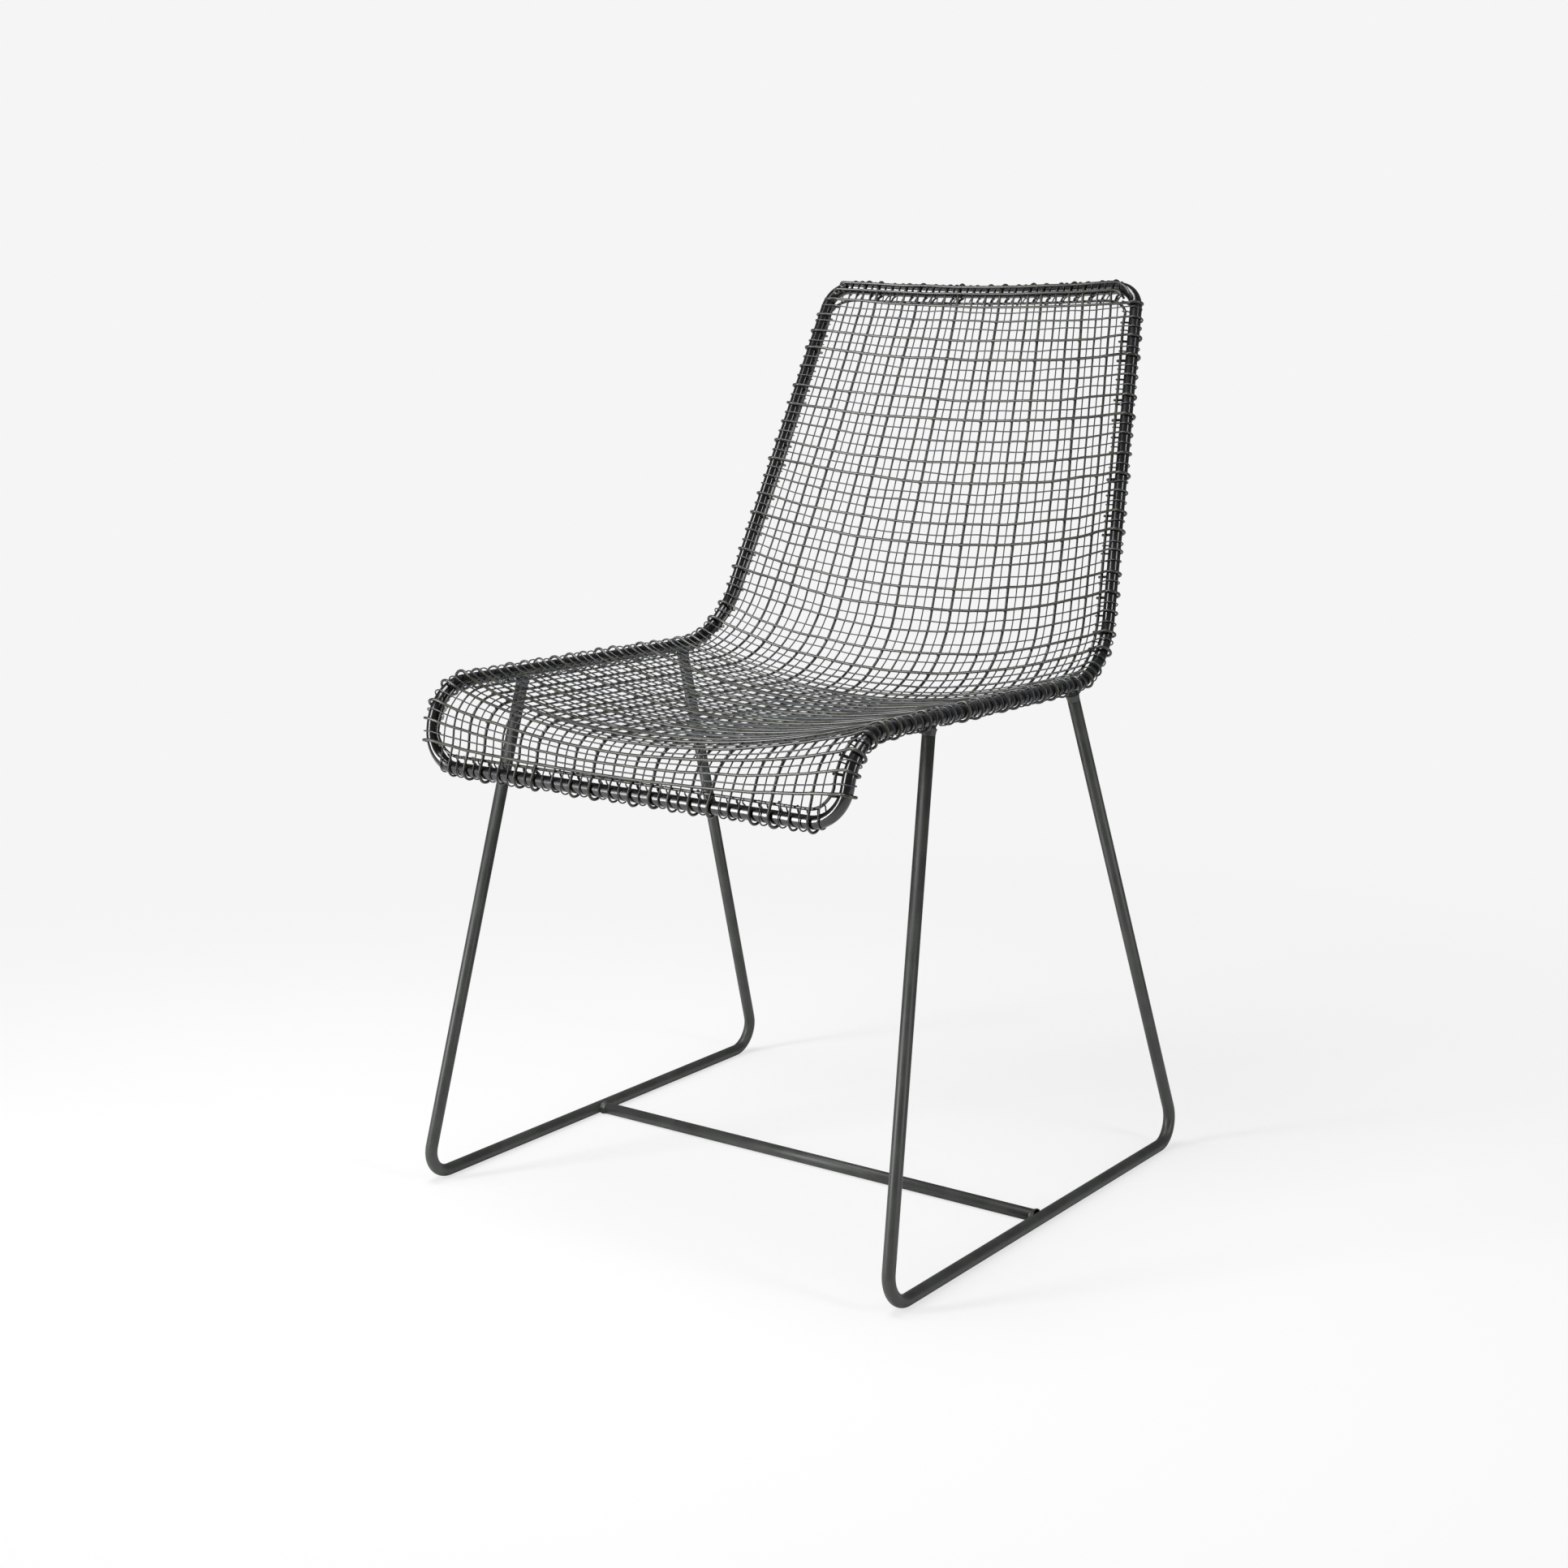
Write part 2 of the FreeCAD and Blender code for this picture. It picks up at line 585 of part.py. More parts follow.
def add_leg_path(body):
    """The centre line of a sled in its own plane: leg, floor bend, rail, floor bend, leg."""
    sketch = body.newObject("Sketcher::SketchObject", body.Name + "_path")
    plane = [f for f in body.Origin.OriginFeatures if f.Role == "XY_Plane"][0]
    sketch.AttachmentSupport = [(plane, "")]
    sketch.MapMode = "FlatFace"
    radius = size("sled_corner_radius")
    front, rear = -size("sled_front_reach"), size("sled_rear_reach")
    front_top = Vector(-size("front_leg_top_reach"), rise_on_plane(FRONT_TOP), 0)
    rear_top = Vector(size("rear_leg_top_reach"), rise_on_plane(REAR_TOP), 0)
    upright = Vector(0, 0, 1)
    front_circle = Part.Circle(Vector(front + radius, radius, 0), upright, radius)
    rear_circle = Part.Circle(Vector(rear - radius, radius, 0), upright, radius)
    down, left, right = math.pi * 1.5, math.pi * 0.95, math.pi * 2.05
    front_leg = sketch.addGeometry(Part.LineSegment(front_top, Vector(front, radius, 0)), False)
    front_bend = sketch.addGeometry(Part.ArcOfCircle(front_circle, left, down), False)
    rail_ends = Vector(front + radius, 0, 0), Vector(rear - radius, 0, 0)
    rail = sketch.addGeometry(Part.LineSegment(*rail_ends), False)
    rear_bend = sketch.addGeometry(Part.ArcOfCircle(rear_circle, down, right), False)
    rear_leg = sketch.addGeometry(Part.LineSegment(Vector(rear, radius, 0), rear_top), False)
    front_corner = sketch.addGeometry(Part.Point(Vector(front, 0, 0)), True)
    rear_corner = sketch.addGeometry(Part.Point(Vector(rear, 0, 0)), True)
    runs = [front_leg, front_bend, rail, rear_bend, rear_leg]
    for run, following in zip(runs, runs[1:]):
        sketch.addConstraint(Sketcher.Constraint("Tangent", run, 2, following, 1))
    for corner, leg in ((front_corner, front_leg), (rear_corner, rear_leg)):
        sketch.addConstraint(Sketcher.Constraint("PointOnObject", corner, 1, leg))
        sketch.addConstraint(Sketcher.Constraint("PointOnObject", corner, 1, -1))
    sketch.addConstraint(Sketcher.Constraint("PointOnObject", rail, 1, -1))
    sketch.addConstraint(Sketcher.Constraint("Horizontal", rail))
    sketch.addConstraint(Sketcher.Constraint("Equal", front_bend, rear_bend))
    add_dimension(sketch, "Radius", (front_bend,), radius, "floor_bend", "Sizes.sled_corner_radius")
    reaches = (
        ("front_floor", (front_corner, 1, -1, 1), -front, "sled_front_reach"),
        ("rear_floor", (-1, 1, rear_corner, 1), rear, "sled_rear_reach"),
        ("front_top", (front_leg, 1, -1, 1), -front_top.x, "front_leg_top_reach"),
        ("rear_top", (-1, 1, rear_leg, 2), rear_top.x, "rear_leg_top_reach"),
    )
    for name, places, value, size_name in reaches:
        add_dimension(sketch, "DistanceX", places, value, name, "Sizes." + size_name)
    add_dimension(sketch, "DistanceY", (-1, 1, front_leg, 1), front_top.y, "front_rise", None)
    add_dimension(sketch, "DistanceY", (-1, 1, rear_leg, 2), rear_top.y, "rear_rise", None)
    return sketch


def add_leg_rod(side_name, side):
    """A sled leg: a round section piped along its sketched centre line, in a plane that leans inwards."""
    body = doc.addObject("PartDesign::Body", side_name + "_leg_body")
    path = add_leg_path(body)
    section = body.newObject("Sketcher::SketchObject", side_name + "_leg_section")
    section.AttachmentSupport = [(path, "Edge1")]
    section.MapMode = "NormalToEdge"
    section.MapPathParameter = 0
    outline = Part.Circle(Vector(0, 0, 0), Vector(0, 0, 1), size("leg_rod_diameter") / 2)
    circle = section.addGeometry(outline, False)
    section.addConstraint(Sketcher.Constraint("Coincident", circle, 3, -1, 1))
    add_dimension(section, "Diameter", (circle,), size("leg_rod_diameter"), "rod", "Sizes.leg_rod_diameter")
    doc.recompute()
    rod = body.newObject("PartDesign::AdditivePipe", side_name + "_leg_rod")
    rod.Profile = section
    rod.Spine = (path, [f"Edge{k}" for k in range(1, 6)])
    floor = Vector(side * size("sled_half_width"), 0, FLOOR_RAIL_HEIGHT)
    turn = Rotation(Vector(0, 1, 0), upward_on(side), Vector(), "XYZ")
    body.Placement = Placement(floor, turn)
    return body


def add_cut(name, base, tool):
    """A piece with the room of another taken out of it."""
    cut = doc.addObject("Part::Cut", name)
    cut.Base = base
    cut.Tool = tool
    cut.Label = name
    return cut


def add_bead(name, centre, along, rod_expression):
    """A weld bead round the end of a rod: a short cone that widens towards the piece it joins."""
    cone = doc.addObject("Part::Cone", name + "_cone")
    cone.setExpression("Radius1", rod_expression + " / 2 + Sizes.weld_seat + Sizes.weld_bead / 4")
    cone.setExpression("Radius2", rod_expression + " / 2 + Sizes.weld_bead")
    cone.setExpression("Height", "Sizes.weld_length")
    cone.Placement = Placement(centre, Rotation(Vector(0, 0, 1), along))
    return cone


def rod_room(name, start, along, length, diameter):
    """A plain cylinder that stands for a rod and its clearance, as a tool for cuts."""
    rod = doc.addObject("Part::Cylinder", name)
    rod.Radius = diameter / 2 + size("weld_seat")
    rod.Height = length
    rod.Placement = Placement(start, Rotation(Vector(0, 0, 1), along))
    return rod


def add_sleds():
    """Both sled legs, coped to the rim, with the weld beads under the rim."""
    for side_name, side in (("left", 1), ("right", -1)):
        rim_start = Vector(side * RIM[BEND].x, RIM[BEND].y, RIM[BEND].z)
        rim_run = Vector(side * RIM[FRONT].x, RIM[FRONT].y, RIM[FRONT].z) - rim_start
        rim_room = rod_room(
            side_name + "_rim_room", rim_start, rim_run, rim_run.Length, size("rim_rod_diameter")
        )
        body = add_leg_rod(side_name, side)
        leg = add_cut(side_name + "_sled_leg", body, rim_room)
        parts[leg.Name] = leg
        floor = Vector(side * size("sled_half_width"), 0, FLOOR_RAIL_HEIGHT)
        ends = (
            ("front", -size("front_leg_top_reach"), -size("sled_front_reach"), FRONT_TOP),
            ("rear", size("rear_leg_top_reach"), size("sled_rear_reach"), REAR_TOP),
        )
        for end_name, top_reach, floor_reach, top in ends:
            leg_foot = floor + Vector(0, floor_reach, 0)
            leg_end = floor + Vector(0, top_reach, 0) + upward_on(side) * rise_on_plane(top)
            along = unit(leg_end - leg_foot)
            name = f"{end_name}_{side_name}_leg_weld"
            start = leg_end - along * (size("weld_length") + size("leg_top_drop") / 2)
            bead = add_bead(name, start, along, "Sizes.leg_rod_diameter")
            run = (leg_end - leg_foot).Length
            leg_room = rod_room(name + "_leg_room", leg_foot, along, run * 1.02, size("leg_rod_diameter"))
            clear_of_leg = add_cut(name + "_on_leg", bead, leg_room)
            parts[name] = add_cut(name, clear_of_leg, rim_room)


def add_stretcher():
    """The rod between the floor rails, butted against both, with a weld bead at each end."""
    stretcher = doc.addObject("Part::Cylinder", "floor_stretcher")
    stretcher.Label = "floor_stretcher"
    stretcher.setExpression("Radius", "Sizes.stretcher_diameter / 2")
    between_rails = "2 * Sizes.sled_half_width - Sizes.leg_rod_diameter"
    stretcher.setExpression("Height", between_rails + " - 2 * Sizes.weld_seat")
    half = size("sled_half_width") - size("leg_rod_diameter") / 2 - size("weld_seat")
    start = Vector(-half, -size("stretcher_reach"), FLOOR_RAIL_HEIGHT)
    stretcher.Placement = Placement(start, Rotation(Vector(0, 0, 1), Vector(1, 0, 0)))
    parts["floor_stretcher"] = stretcher
    # The cutting pieces reach well past the bead
    room = 4 * (size("stretcher_diameter") + size("weld_bead"))
    for side_name, side in (("left", 1), ("right", -1)):
        name = f"{side_name}_stretcher_weld"
        outward = Vector(side, 0, 0)
        rail_point = Vector(side * size("sled_half_width"), start.y, FLOOR_RAIL_HEIGHT)
        bead_start = rail_point - outward * size("weld_length")
        bead = add_bead(name, bead_start, outward, "Sizes.stretcher_diameter")
        stretcher_room = rod_room(
            name + "_rod_room", rail_point - outward * room, outward, room, size("stretcher_diameter")
        )
        rail_start = rail_point - Vector(0, room / 2, 0)
        rail_room = rod_room(
            name + "_rail_room", rail_start, Vector(0, 1, 0), room, size("leg_rod_diameter")
        )
        clear_of_rod = add_cut(name + "_on_rod", bead, stretcher_room)
        clear_of_rail = add_cut(name + "_on_rail", clear_of_rod, rail_room)
        floor = doc.addObject("Part::Box", name + "_floor")
        floor.Length = floor.Width = floor.Height = room
        floor.Placement = Placement(Vector(rail_point.x - room / 2, start.y - room / 2, -room), Rotation())
        parts[name] = add_cut(name, clear_of_rail, floor)


def add_shell():
    """Every wire of the shell; heavy ones have a node each, lighter ones share one by gauge and zone."""
    groups = {}
    for index in range(1, STRAND_COUNT):
        gauge = STRAND_PATTERN[-index % REPEAT]
        wire = make_long_wire(index, gauge)
        if gauge == HEAVY:
            add_feature(f"heavy_long_wire_{index // REPEAT}", wire)
        else:
            groups.setdefault(f"{gauge}_long_wires", []).append(wire)
    heavy_count = 0
    for distance, gauge, zone in cross_wire_plan():
        wire = make_cross_wire(distance, gauge)
        if gauge == HEAVY:
            heavy_count += 1
            add_feature(f"heavy_cross_wire_{heavy_count:02d}", wire)
        else:
            groups.setdefault(f"{gauge}_cross_wires_{zone}", []).append(wire)
    for name, wires in groups.items():
        add_feature(name, Part.makeCompound(wires))


def add_top_rim_wires():
    """The heavy and the medium wire along the sitter's side of the top rim."""
    add_feature("top_rim_heavy_wire", make_top_rim_wire(HEAVY, size("top_heavy_wire_rise")))
    add_feature("top_rim_medium_wire", make_top_rim_wire(MEDIUM, -size("top_medium_wire_drop")))


def check_and_export():
    """Stops on any failed object or shape, then writes one file per sub-part."""
    doc.recompute()
    for item in doc.Objects:
        if "Invalid" in item.State or "Error" in item.State:
            raise RuntimeError(f"{item.Name} failed: {item.State}")
    os.makedirs("parts", exist_ok=True)
    for name, part in parts.items():
        if part.Shape.isNull() or not part.Shape.isValid() or not part.Shape.Solids:
            raise RuntimeError(f"{name} has no valid solid")
        part.Shape.exportStep(f"parts/{name}.step")
    whole = Part.makeCompound([part.Shape for part in parts.values()])
    print(len(parts), "sub-parts,", len(whole.Solids), "solids, box", whole.BoundBox)


add_feature("rim_rod", make_rim_rod())
add_feature("inner_edge_wire", make_inner_edge_wire())
add_sleds()
add_stretcher()
add_shell()
add_top_rim_wires()
check_and_export()
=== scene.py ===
# %% [markdown]
# # A wire mesh chair
# The chair is a bent rod rim that carries a dished shell of crossed wires, on two sled legs. The packed
# CAD model gives every rod and wire its place; its wires are square bars with few faces, so here each
# one is made again as a round wire that bends, wraps and wanders a little, as hand-finished wire does.

import bpy
import numpy as np
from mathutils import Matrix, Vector


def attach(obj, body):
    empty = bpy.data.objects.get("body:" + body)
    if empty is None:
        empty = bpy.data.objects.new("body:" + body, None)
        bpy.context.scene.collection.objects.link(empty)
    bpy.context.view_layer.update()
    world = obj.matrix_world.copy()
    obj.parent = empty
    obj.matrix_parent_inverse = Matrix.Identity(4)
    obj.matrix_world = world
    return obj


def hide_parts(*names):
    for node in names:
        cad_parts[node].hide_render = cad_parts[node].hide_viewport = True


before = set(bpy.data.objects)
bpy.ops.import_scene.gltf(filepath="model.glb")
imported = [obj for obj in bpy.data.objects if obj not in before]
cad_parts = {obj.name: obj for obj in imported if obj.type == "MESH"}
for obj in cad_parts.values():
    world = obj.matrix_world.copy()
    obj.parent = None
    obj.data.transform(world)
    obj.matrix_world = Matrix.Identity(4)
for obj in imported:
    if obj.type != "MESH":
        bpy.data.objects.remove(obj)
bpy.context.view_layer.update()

MILLIMETRE = 0.001
luck = np.random.default_rng(41)
print("nodes in the frame:", len(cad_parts))

# %% [markdown]
# ## Sizes
# All lengths below are millimetres, with +Z up, +X to the sitter's left and the sitter looking along -Y.
# The rim is given by the corners of its centre line on the sitter's left: the top corner, the lumbar
# turn, the meeting of back and seat, the front edge and the low front corner. Typing the few driving
# sizes and working out the rest keeps all pieces together when one size is changed.

# %% Sizes of rods and wires
# Radius of the rod of rim and sleds, and the gap at which touching pieces are drawn
ROD, SEATING = 5.5, 0.1
# Wire diameters, and the number of sides of each drawn wire, of the rim and of the sleds
DIAMETER = {"heavy": 2.6, "medium": 2.35, "fine": 1.85, "light": 1.25}
WIRE_SIDES = {"heavy": 10, "medium": 8, "fine": 7, "light": 6}
RIM_SIDES, SLED_SIDES = 40, 36
# How far inside the rim's centre line the edge wire runs, and how far back the top rim bows
EDGE_INSET, TOP_BOW = 10.0, 9.5
# The lumbar turn lies on the straight from the top corner to the seat's corner
TOP_CORNER, SEAT_CORNER = np.array([168.0, 265.0, 792.0]), np.array([214.5, 132.0, 452.5])
LUMBAR_HEIGHT = 617.5
LUMBAR_SHARE = (TOP_CORNER[2] - LUMBAR_HEIGHT) / (TOP_CORNER[2] - SEAT_CORNER[2])
RIM = np.array([
    TOP_CORNER,
    TOP_CORNER + (SEAT_CORNER - TOP_CORNER) * LUMBAR_SHARE,
    SEAT_CORNER,
    [216.0, -260.0, 457.5],
    [213.0, -272.5, 390.5],
])
TOP_RADIUS, BEND_RADIUS, FRONT_RADIUS, LOW_RADIUS = 25.0, 80.0, 42.0, 32.0
print("rod, mm:", 2 * ROD, "- wires, mm:", DIAMETER)

# %% [markdown]
# ## The shell as a formula
# The mesh lies on a surface that could be modelled by hand and shrink-wrapped, but a formula keeps every
# crossing of two wires exact. A strand is a side profile of four straight runs joined by three arcs. Its
# corners lie between those of the rim and those of the middle of the chair, so the strands
# together make the dish. An arc is drawn as a rational curve: start, corner and end are weighed by
# the squares and product of the share, with the cosine of half the turn on the corner.

# %% Vector helpers
def unit(vectors):
    """Each vector divided by its length."""
    return vectors / np.linalg.norm(vectors, axis=-1, keepdims=True)


def sitter_normal(along):
    """Square to a run down the shell and to the chair's width, towards the sitter: (0, z, -y) of the run."""
    return unit(np.stack([np.zeros_like(along[..., 1]), along[..., 2], -along[..., 1]], axis=-1))


def turn_at(before, corner, after):
    """The angle between the run into a corner and the run out of it, from their dot product."""
    cosine = np.sum(unit(corner - before) * unit(after - corner), axis=-1)
    return np.arccos(np.clip(cosine, -1, 1))


def lifted(corners, lift):
    """Corners moved towards the sitter so that every run stays parallel: the two normals' sum, times the
    lift over one plus their dot product."""
    normals = sitter_normal(np.diff(corners, axis=-2))
    into = np.concatenate([normals[..., :1, :], normals], axis=-2)
    out = np.concatenate([normals, normals[..., -1:, :]], axis=-2)
    return corners + (into + out) * (lift / (1 + np.sum(into * out, axis=-1, keepdims=True)))


# %% The contact surface between long wires and cross wires
RIM_FACE = lifted(RIM, ROD + SEATING)
BACK_NORMAL = sitter_normal(RIM[2] - RIM[0])
UP_BACK = unit(np.array([0.0, RIM[0, 1] - RIM[2, 1], RIM[0, 2] - RIM[2, 2]]))
LIP_NORMAL = sitter_normal(RIM[4] - RIM[3])
DOWN_LIP = unit(np.array([0.0, RIM[4, 1] - RIM[3, 1], RIM[4, 2] - RIM[3, 2]]))
# How far from its corner each arc begins: lumbar turn, meeting of back and seat, front edge
LUMBAR_SETBACK = 75.0
RIM_SETBACKS = np.array([
    LUMBAR_SETBACK,
    (BEND_RADIUS - ROD) * np.tan(turn_at(RIM_FACE[0], RIM_FACE[2], RIM_FACE[3]) / 2),
    (FRONT_RADIUS + ROD) * np.tan(turn_at(RIM_FACE[2], RIM_FACE[3], RIM_FACE[4]) / 2),
])
# The dish: where the middle of the chair lies from the rim at each of the five corners
LUMBAR_DISH, SEAT_BEND_DISH, FRONT_SAG = 19.0, [0, 20.0, -38.0], [0, 0, -31.5]
MIDDLE_FACE = RIM_FACE + np.array([
    -BACK_NORMAL * TOP_BOW, -BACK_NORMAL * LUMBAR_DISH, SEAT_BEND_DISH, FRONT_SAG, [0, 0, 0]])
MIDDLE_SETBACKS = np.array([LUMBAR_SETBACK, 73.0, 23.0])
# How flat the dish is across at each corner, and how far the strands open out in the middle
DISH_POWERS = np.array([2.0, 3.3, 2.0, 2.0, 2.0])
SPREAD = 0.12 * np.array([0.0, 0.6, 1.0, 0.8, 0.25])
# A straight corner is taken as turning by this angle, so that nothing is divided by zero
SMALLEST_TURN = 1e-5


def strand(share):
    """Corners (n, 5, 3) and setbacks (n, 3) of strands. Share is -1 and 1 at the inner edge wires. Across,
    a corner lies at its share of the width, opened out by the spread times one minus the share squared;
    its dish is one minus the power of how far out it lies."""
    share = share[:, None]
    across = (RIM_FACE[:, 0] - EDGE_INSET) * share * (1 + SPREAD * (1 - share ** 2))
    dish = 1 - np.abs(across / RIM_FACE[:, 0]) ** DISH_POWERS
    corners = RIM_FACE + (MIDDLE_FACE - RIM_FACE) * dish[..., None]
    corners[..., 0] = across
    rounding = 1 - ((1 - EDGE_INSET / RIM_FACE[2, 0]) * share) ** 2
    return corners, RIM_SETBACKS + (MIDDLE_SETBACKS - RIM_SETBACKS) * rounding


def stretches(corners, setbacks):
    """The seven stretches of each strand as start, middle and end, the middles' weights and the lengths."""
    before, corner, after = corners[:, :-2], corners[:, 1:-1], corners[:, 2:]
    start = corner + unit(before - corner) * setbacks[..., None]
    end = corner + unit(after - corner) * setbacks[..., None]
    turn = np.maximum(turn_at(before, corner, after), SMALLEST_TURN)
    run_start = np.concatenate([corners[:, :1], end], axis=1)
    run_end = np.concatenate([start, corners[:, -1:]], axis=1)
    points = np.empty((len(corners), 7, 3, 3))
    points[:, 0::2] = np.stack([run_start, (run_start + run_end) / 2, run_end], axis=2)
    points[:, 1::2] = np.stack([start, corner, end], axis=2)
    weights = np.ones(points.shape[:2])
    weights[:, 1::2] = np.cos(turn / 2)
    lengths = np.empty(points.shape[:2])
    lengths[:, 0::2] = np.linalg.norm(run_end - run_start, axis=-1)
    lengths[:, 1::2] = setbacks / np.tan(turn / 2) * turn
    return points, weights, lengths


RIM_LENGTHS = stretches(RIM_FACE[None], RIM_SETBACKS[None])[2][0]
RIM_BACK, RIM_SEAT, RIM_WHOLE = RIM_LENGTHS[:4].sum(), RIM_LENGTHS[:5].sum(), RIM_LENGTHS.sum()
print("rim from top to low front, mm:", round(RIM_WHOLE, 1))


# %% A point of the shell from its share and its distance along the rim
# A direction is read off between two points this far to either side
HALF_STEP = 0.5


def on_profile(corners, setbacks, distance):
    """Points and sitter normals where cross wires that leave the rim at these distances meet the profiles.

    Down the back a profile's own travel is the distance plus its extra length times the squared share,
    so wires hang lower in the middle. On the seat and on the lip travel is in proportion."""
    points, weights, lengths = stretches(corners, setbacks)
    back, seat, whole = lengths[:, :4].sum(1), lengths[:, 4], lengths.sum(1)
    down_back = distance + (back - RIM_BACK) * (distance / RIM_BACK) ** 2
    over_seat = back + (distance - RIM_BACK) * seat / RIM_LENGTHS[4]
    down_lip = back + seat + (distance - RIM_SEAT) * (whole - back - seat) / (RIM_WHOLE - RIM_SEAT)
    travel = np.where(distance <= RIM_BACK, down_back, np.where(distance <= RIM_SEAT, over_seat, down_lip))
    ends = np.cumsum(lengths, axis=1)
    rows = np.arange(len(travel))

    def place(at):
        index = np.minimum((at[:, None] > ends).sum(1), 6)
        share = ((at - ends[rows, index] + lengths[rows, index]) / lengths[rows, index])[:, None]
        start, middle, end = np.moveaxis(points[rows, index], 1, 0)
        pull = weights[rows, index][:, None] * 2 * share * (1 - share)
        return (start * (1 - share) ** 2 + middle * pull + end * share ** 2) / (
            (1 - share) ** 2 + pull + share ** 2
        )

    return place(travel), sitter_normal(place(travel + HALF_STEP) - place(travel - HALF_STEP))


def shell(share, distance):
    """Point and sitter normal of the contact surface, for arrays of shares and distances of one shape."""
    share, distance = np.broadcast_arrays(share, distance)
    point, normal = on_profile(*strand(share.ravel()), distance.ravel())
    return point.reshape(share.shape + (3,)), normal.reshape(share.shape + (3,))


def rim_line(side, distance):
    """The same on the line along which the cross wires lie on the rim; side is -1 or 1."""
    corners = np.repeat(RIM_FACE[None], side.size, axis=0)
    setbacks = np.repeat(RIM_SETBACKS[None], side.size, axis=0)
    point, normal = on_profile(corners, setbacks, distance.ravel())
    point[:, 0] *= side.ravel()
    return point.reshape(side.shape + (3,)), normal.reshape(side.shape + (3,))


seat_middle = shell(np.zeros(1), np.array([(RIM_BACK + RIM_SEAT) / 2]))[0][0]
print("middle of the seat, mm:", seat_middle.round(1).tolist())


# %% [markdown]
# ## Round wire
# Blender's curve bevel would make these wires, but then every wire is an object with its own settings.
# A tube computed as one array makes hundreds at once and gives plain meshes. Corners are rounded by
# cutting them: each round replaces two neighbours by points a quarter and three quarters of the way.

# %% Paths and tubes
def rounded(points, rounds=2):
    """Corner cutting along the second last axis: 3/4 and 1/4 of neighbours, with both ends kept."""
    for _ in range(rounds):
        near, far = points[..., :-1, :], points[..., 1:, :]
        cut = np.stack([near * 0.75 + far * 0.25, near * 0.25 + far * 0.75], axis=-2)
        cut = cut.reshape(points.shape[:-2] + (-1, points.shape[-1]))
        points = np.concatenate([points[..., :1, :], cut, points[..., -1:, :]], axis=-2)
    return points


def tube_grid(path, reference, radius, sides, closed=False):
    """Rings of points round paths (wires, n, 3): path + radius (cos a, sin a) in the plane square to the
    tangent. The first ring axis is the reference made square to the tangent, the second is their cross."""
    if closed:
        tangent = np.roll(path, -1, axis=-2) - np.roll(path, 1, axis=-2)
    else:
        tangent = np.gradient(path, axis=-2)
    tangent = unit(tangent)
    first = unit(reference - tangent * np.sum(reference * tangent, axis=-1, keepdims=True))
    second = np.cross(tangent, first)
    angle = np.linspace(0, 2 * np.pi, sides, endpoint=False)[:, None]
    ring = first[..., None, :] * np.cos(angle) + second[..., None, :] * np.sin(angle)
    radius = np.broadcast_to(np.asarray(radius, float), path.shape[:-1])
    return path[..., None, :] + ring * radius[..., None, None]


def tube_faces(wires, points, sides, closed=False):
    """Quads between neighbouring rings of all wires, and a flat cap at each open end, as vertex numbers."""
    spans = points if closed else points - 1
    wire, span, side = np.meshgrid(np.arange(wires), np.arange(spans), np.arange(sides), indexing="ij")
    next_side = (side + 1) % sides
    here = (wire * points + span) * sides
    after = (wire * points + (span + 1) % points) * sides
    quads = np.stack([here + side, here + next_side, after + next_side, after + side], axis=-1)
    quads = quads.reshape(-1, 4).tolist()
    if closed:
        return quads, []
    first_ring = np.arange(wires)[:, None] * points * sides + np.arange(sides)
    last_ring = first_ring + (points - 1) * sides
    return quads, np.concatenate([first_ring[:, ::-1], last_ring]).tolist()


def add_piece(name, grid, finish, replaced=(), closed=False):
    """A mesh from a grid of tube points (wires, points, sides, 3), on the body that carries the chair. The
    tubes are shaded smooth and their end caps flat."""
    quads, caps = tube_faces(*grid.shape[:3], closed)
    mesh = bpy.data.meshes.new(name)
    mesh.from_pydata((grid.reshape(-1, 3) * MILLIMETRE).tolist(), [], quads + caps)
    smooth = np.ones(len(mesh.polygons), dtype=bool)
    smooth[len(quads):] = False
    mesh.polygons.foreach_set("use_smooth", smooth)
    mesh.materials.append(finish)
    mesh.update()
    piece = bpy.data.objects.new(name, mesh)
    bpy.context.scene.collection.objects.link(piece)
    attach(piece, "root")
    if replaced:
        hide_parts(*replaced)
    return piece


print("quads and caps of a tube with 3 points and 6 sides:", [len(part) for part in tube_faces(1, 3, 6)])

# %% [markdown]
# ## Finishes
# Three coats are on this chair. The rim is a rod with a gloss black lacquer, the sleds have a satin powder
# coat in a dark warm grey, and the wires have a thin satin lacquer on drawn steel. All three are plastic
# films over steel, so metallic stays at zero and the gloss comes from the film, with the IOR of such a
# film, 1.5. Painted images would need unwrapping; noise in the mesh's own coordinates does not.

# %% Material helpers
def linear(hex_colour):
    """An sRGB hex colour as linear red, green, blue and alpha."""
    parts = np.array([int(hex_colour[k:k + 2], 16) for k in (1, 3, 5)]) / 255
    straight = np.where(parts <= 0.04045, parts / 12.92, ((parts + 0.055) / 1.055) ** 2.4)
    return (*straight.tolist(), 1.0)


def add_node(tree, kind, inputs=None, **settings):
    """A node with its settings; an input is given a value, or the output socket that feeds it."""
    made = tree.nodes.new(kind)
    for name, value in settings.items():
        setattr(made, name, value)
    for name, value in (inputs or {}).items():
        if isinstance(value, bpy.types.NodeSocket):
            tree.links.new(value, made.inputs[name])
        else:
            made.inputs[name].default_value = value
    return made


def new_material(name):
    """An empty node material with its output and the surface's own coordinates in metres."""
    material = bpy.data.materials.new(name)
    material.use_nodes = True
    tree = material.node_tree
    tree.nodes.clear()
    place = add_node(tree, "ShaderNodeTexCoord")
    return material, tree, place.outputs["Object"]


def per_metre(millimetres):
    """The scale of a noise texture whose features are this many millimetres wide."""
    return 1 / (millimetres * MILLIMETRE)


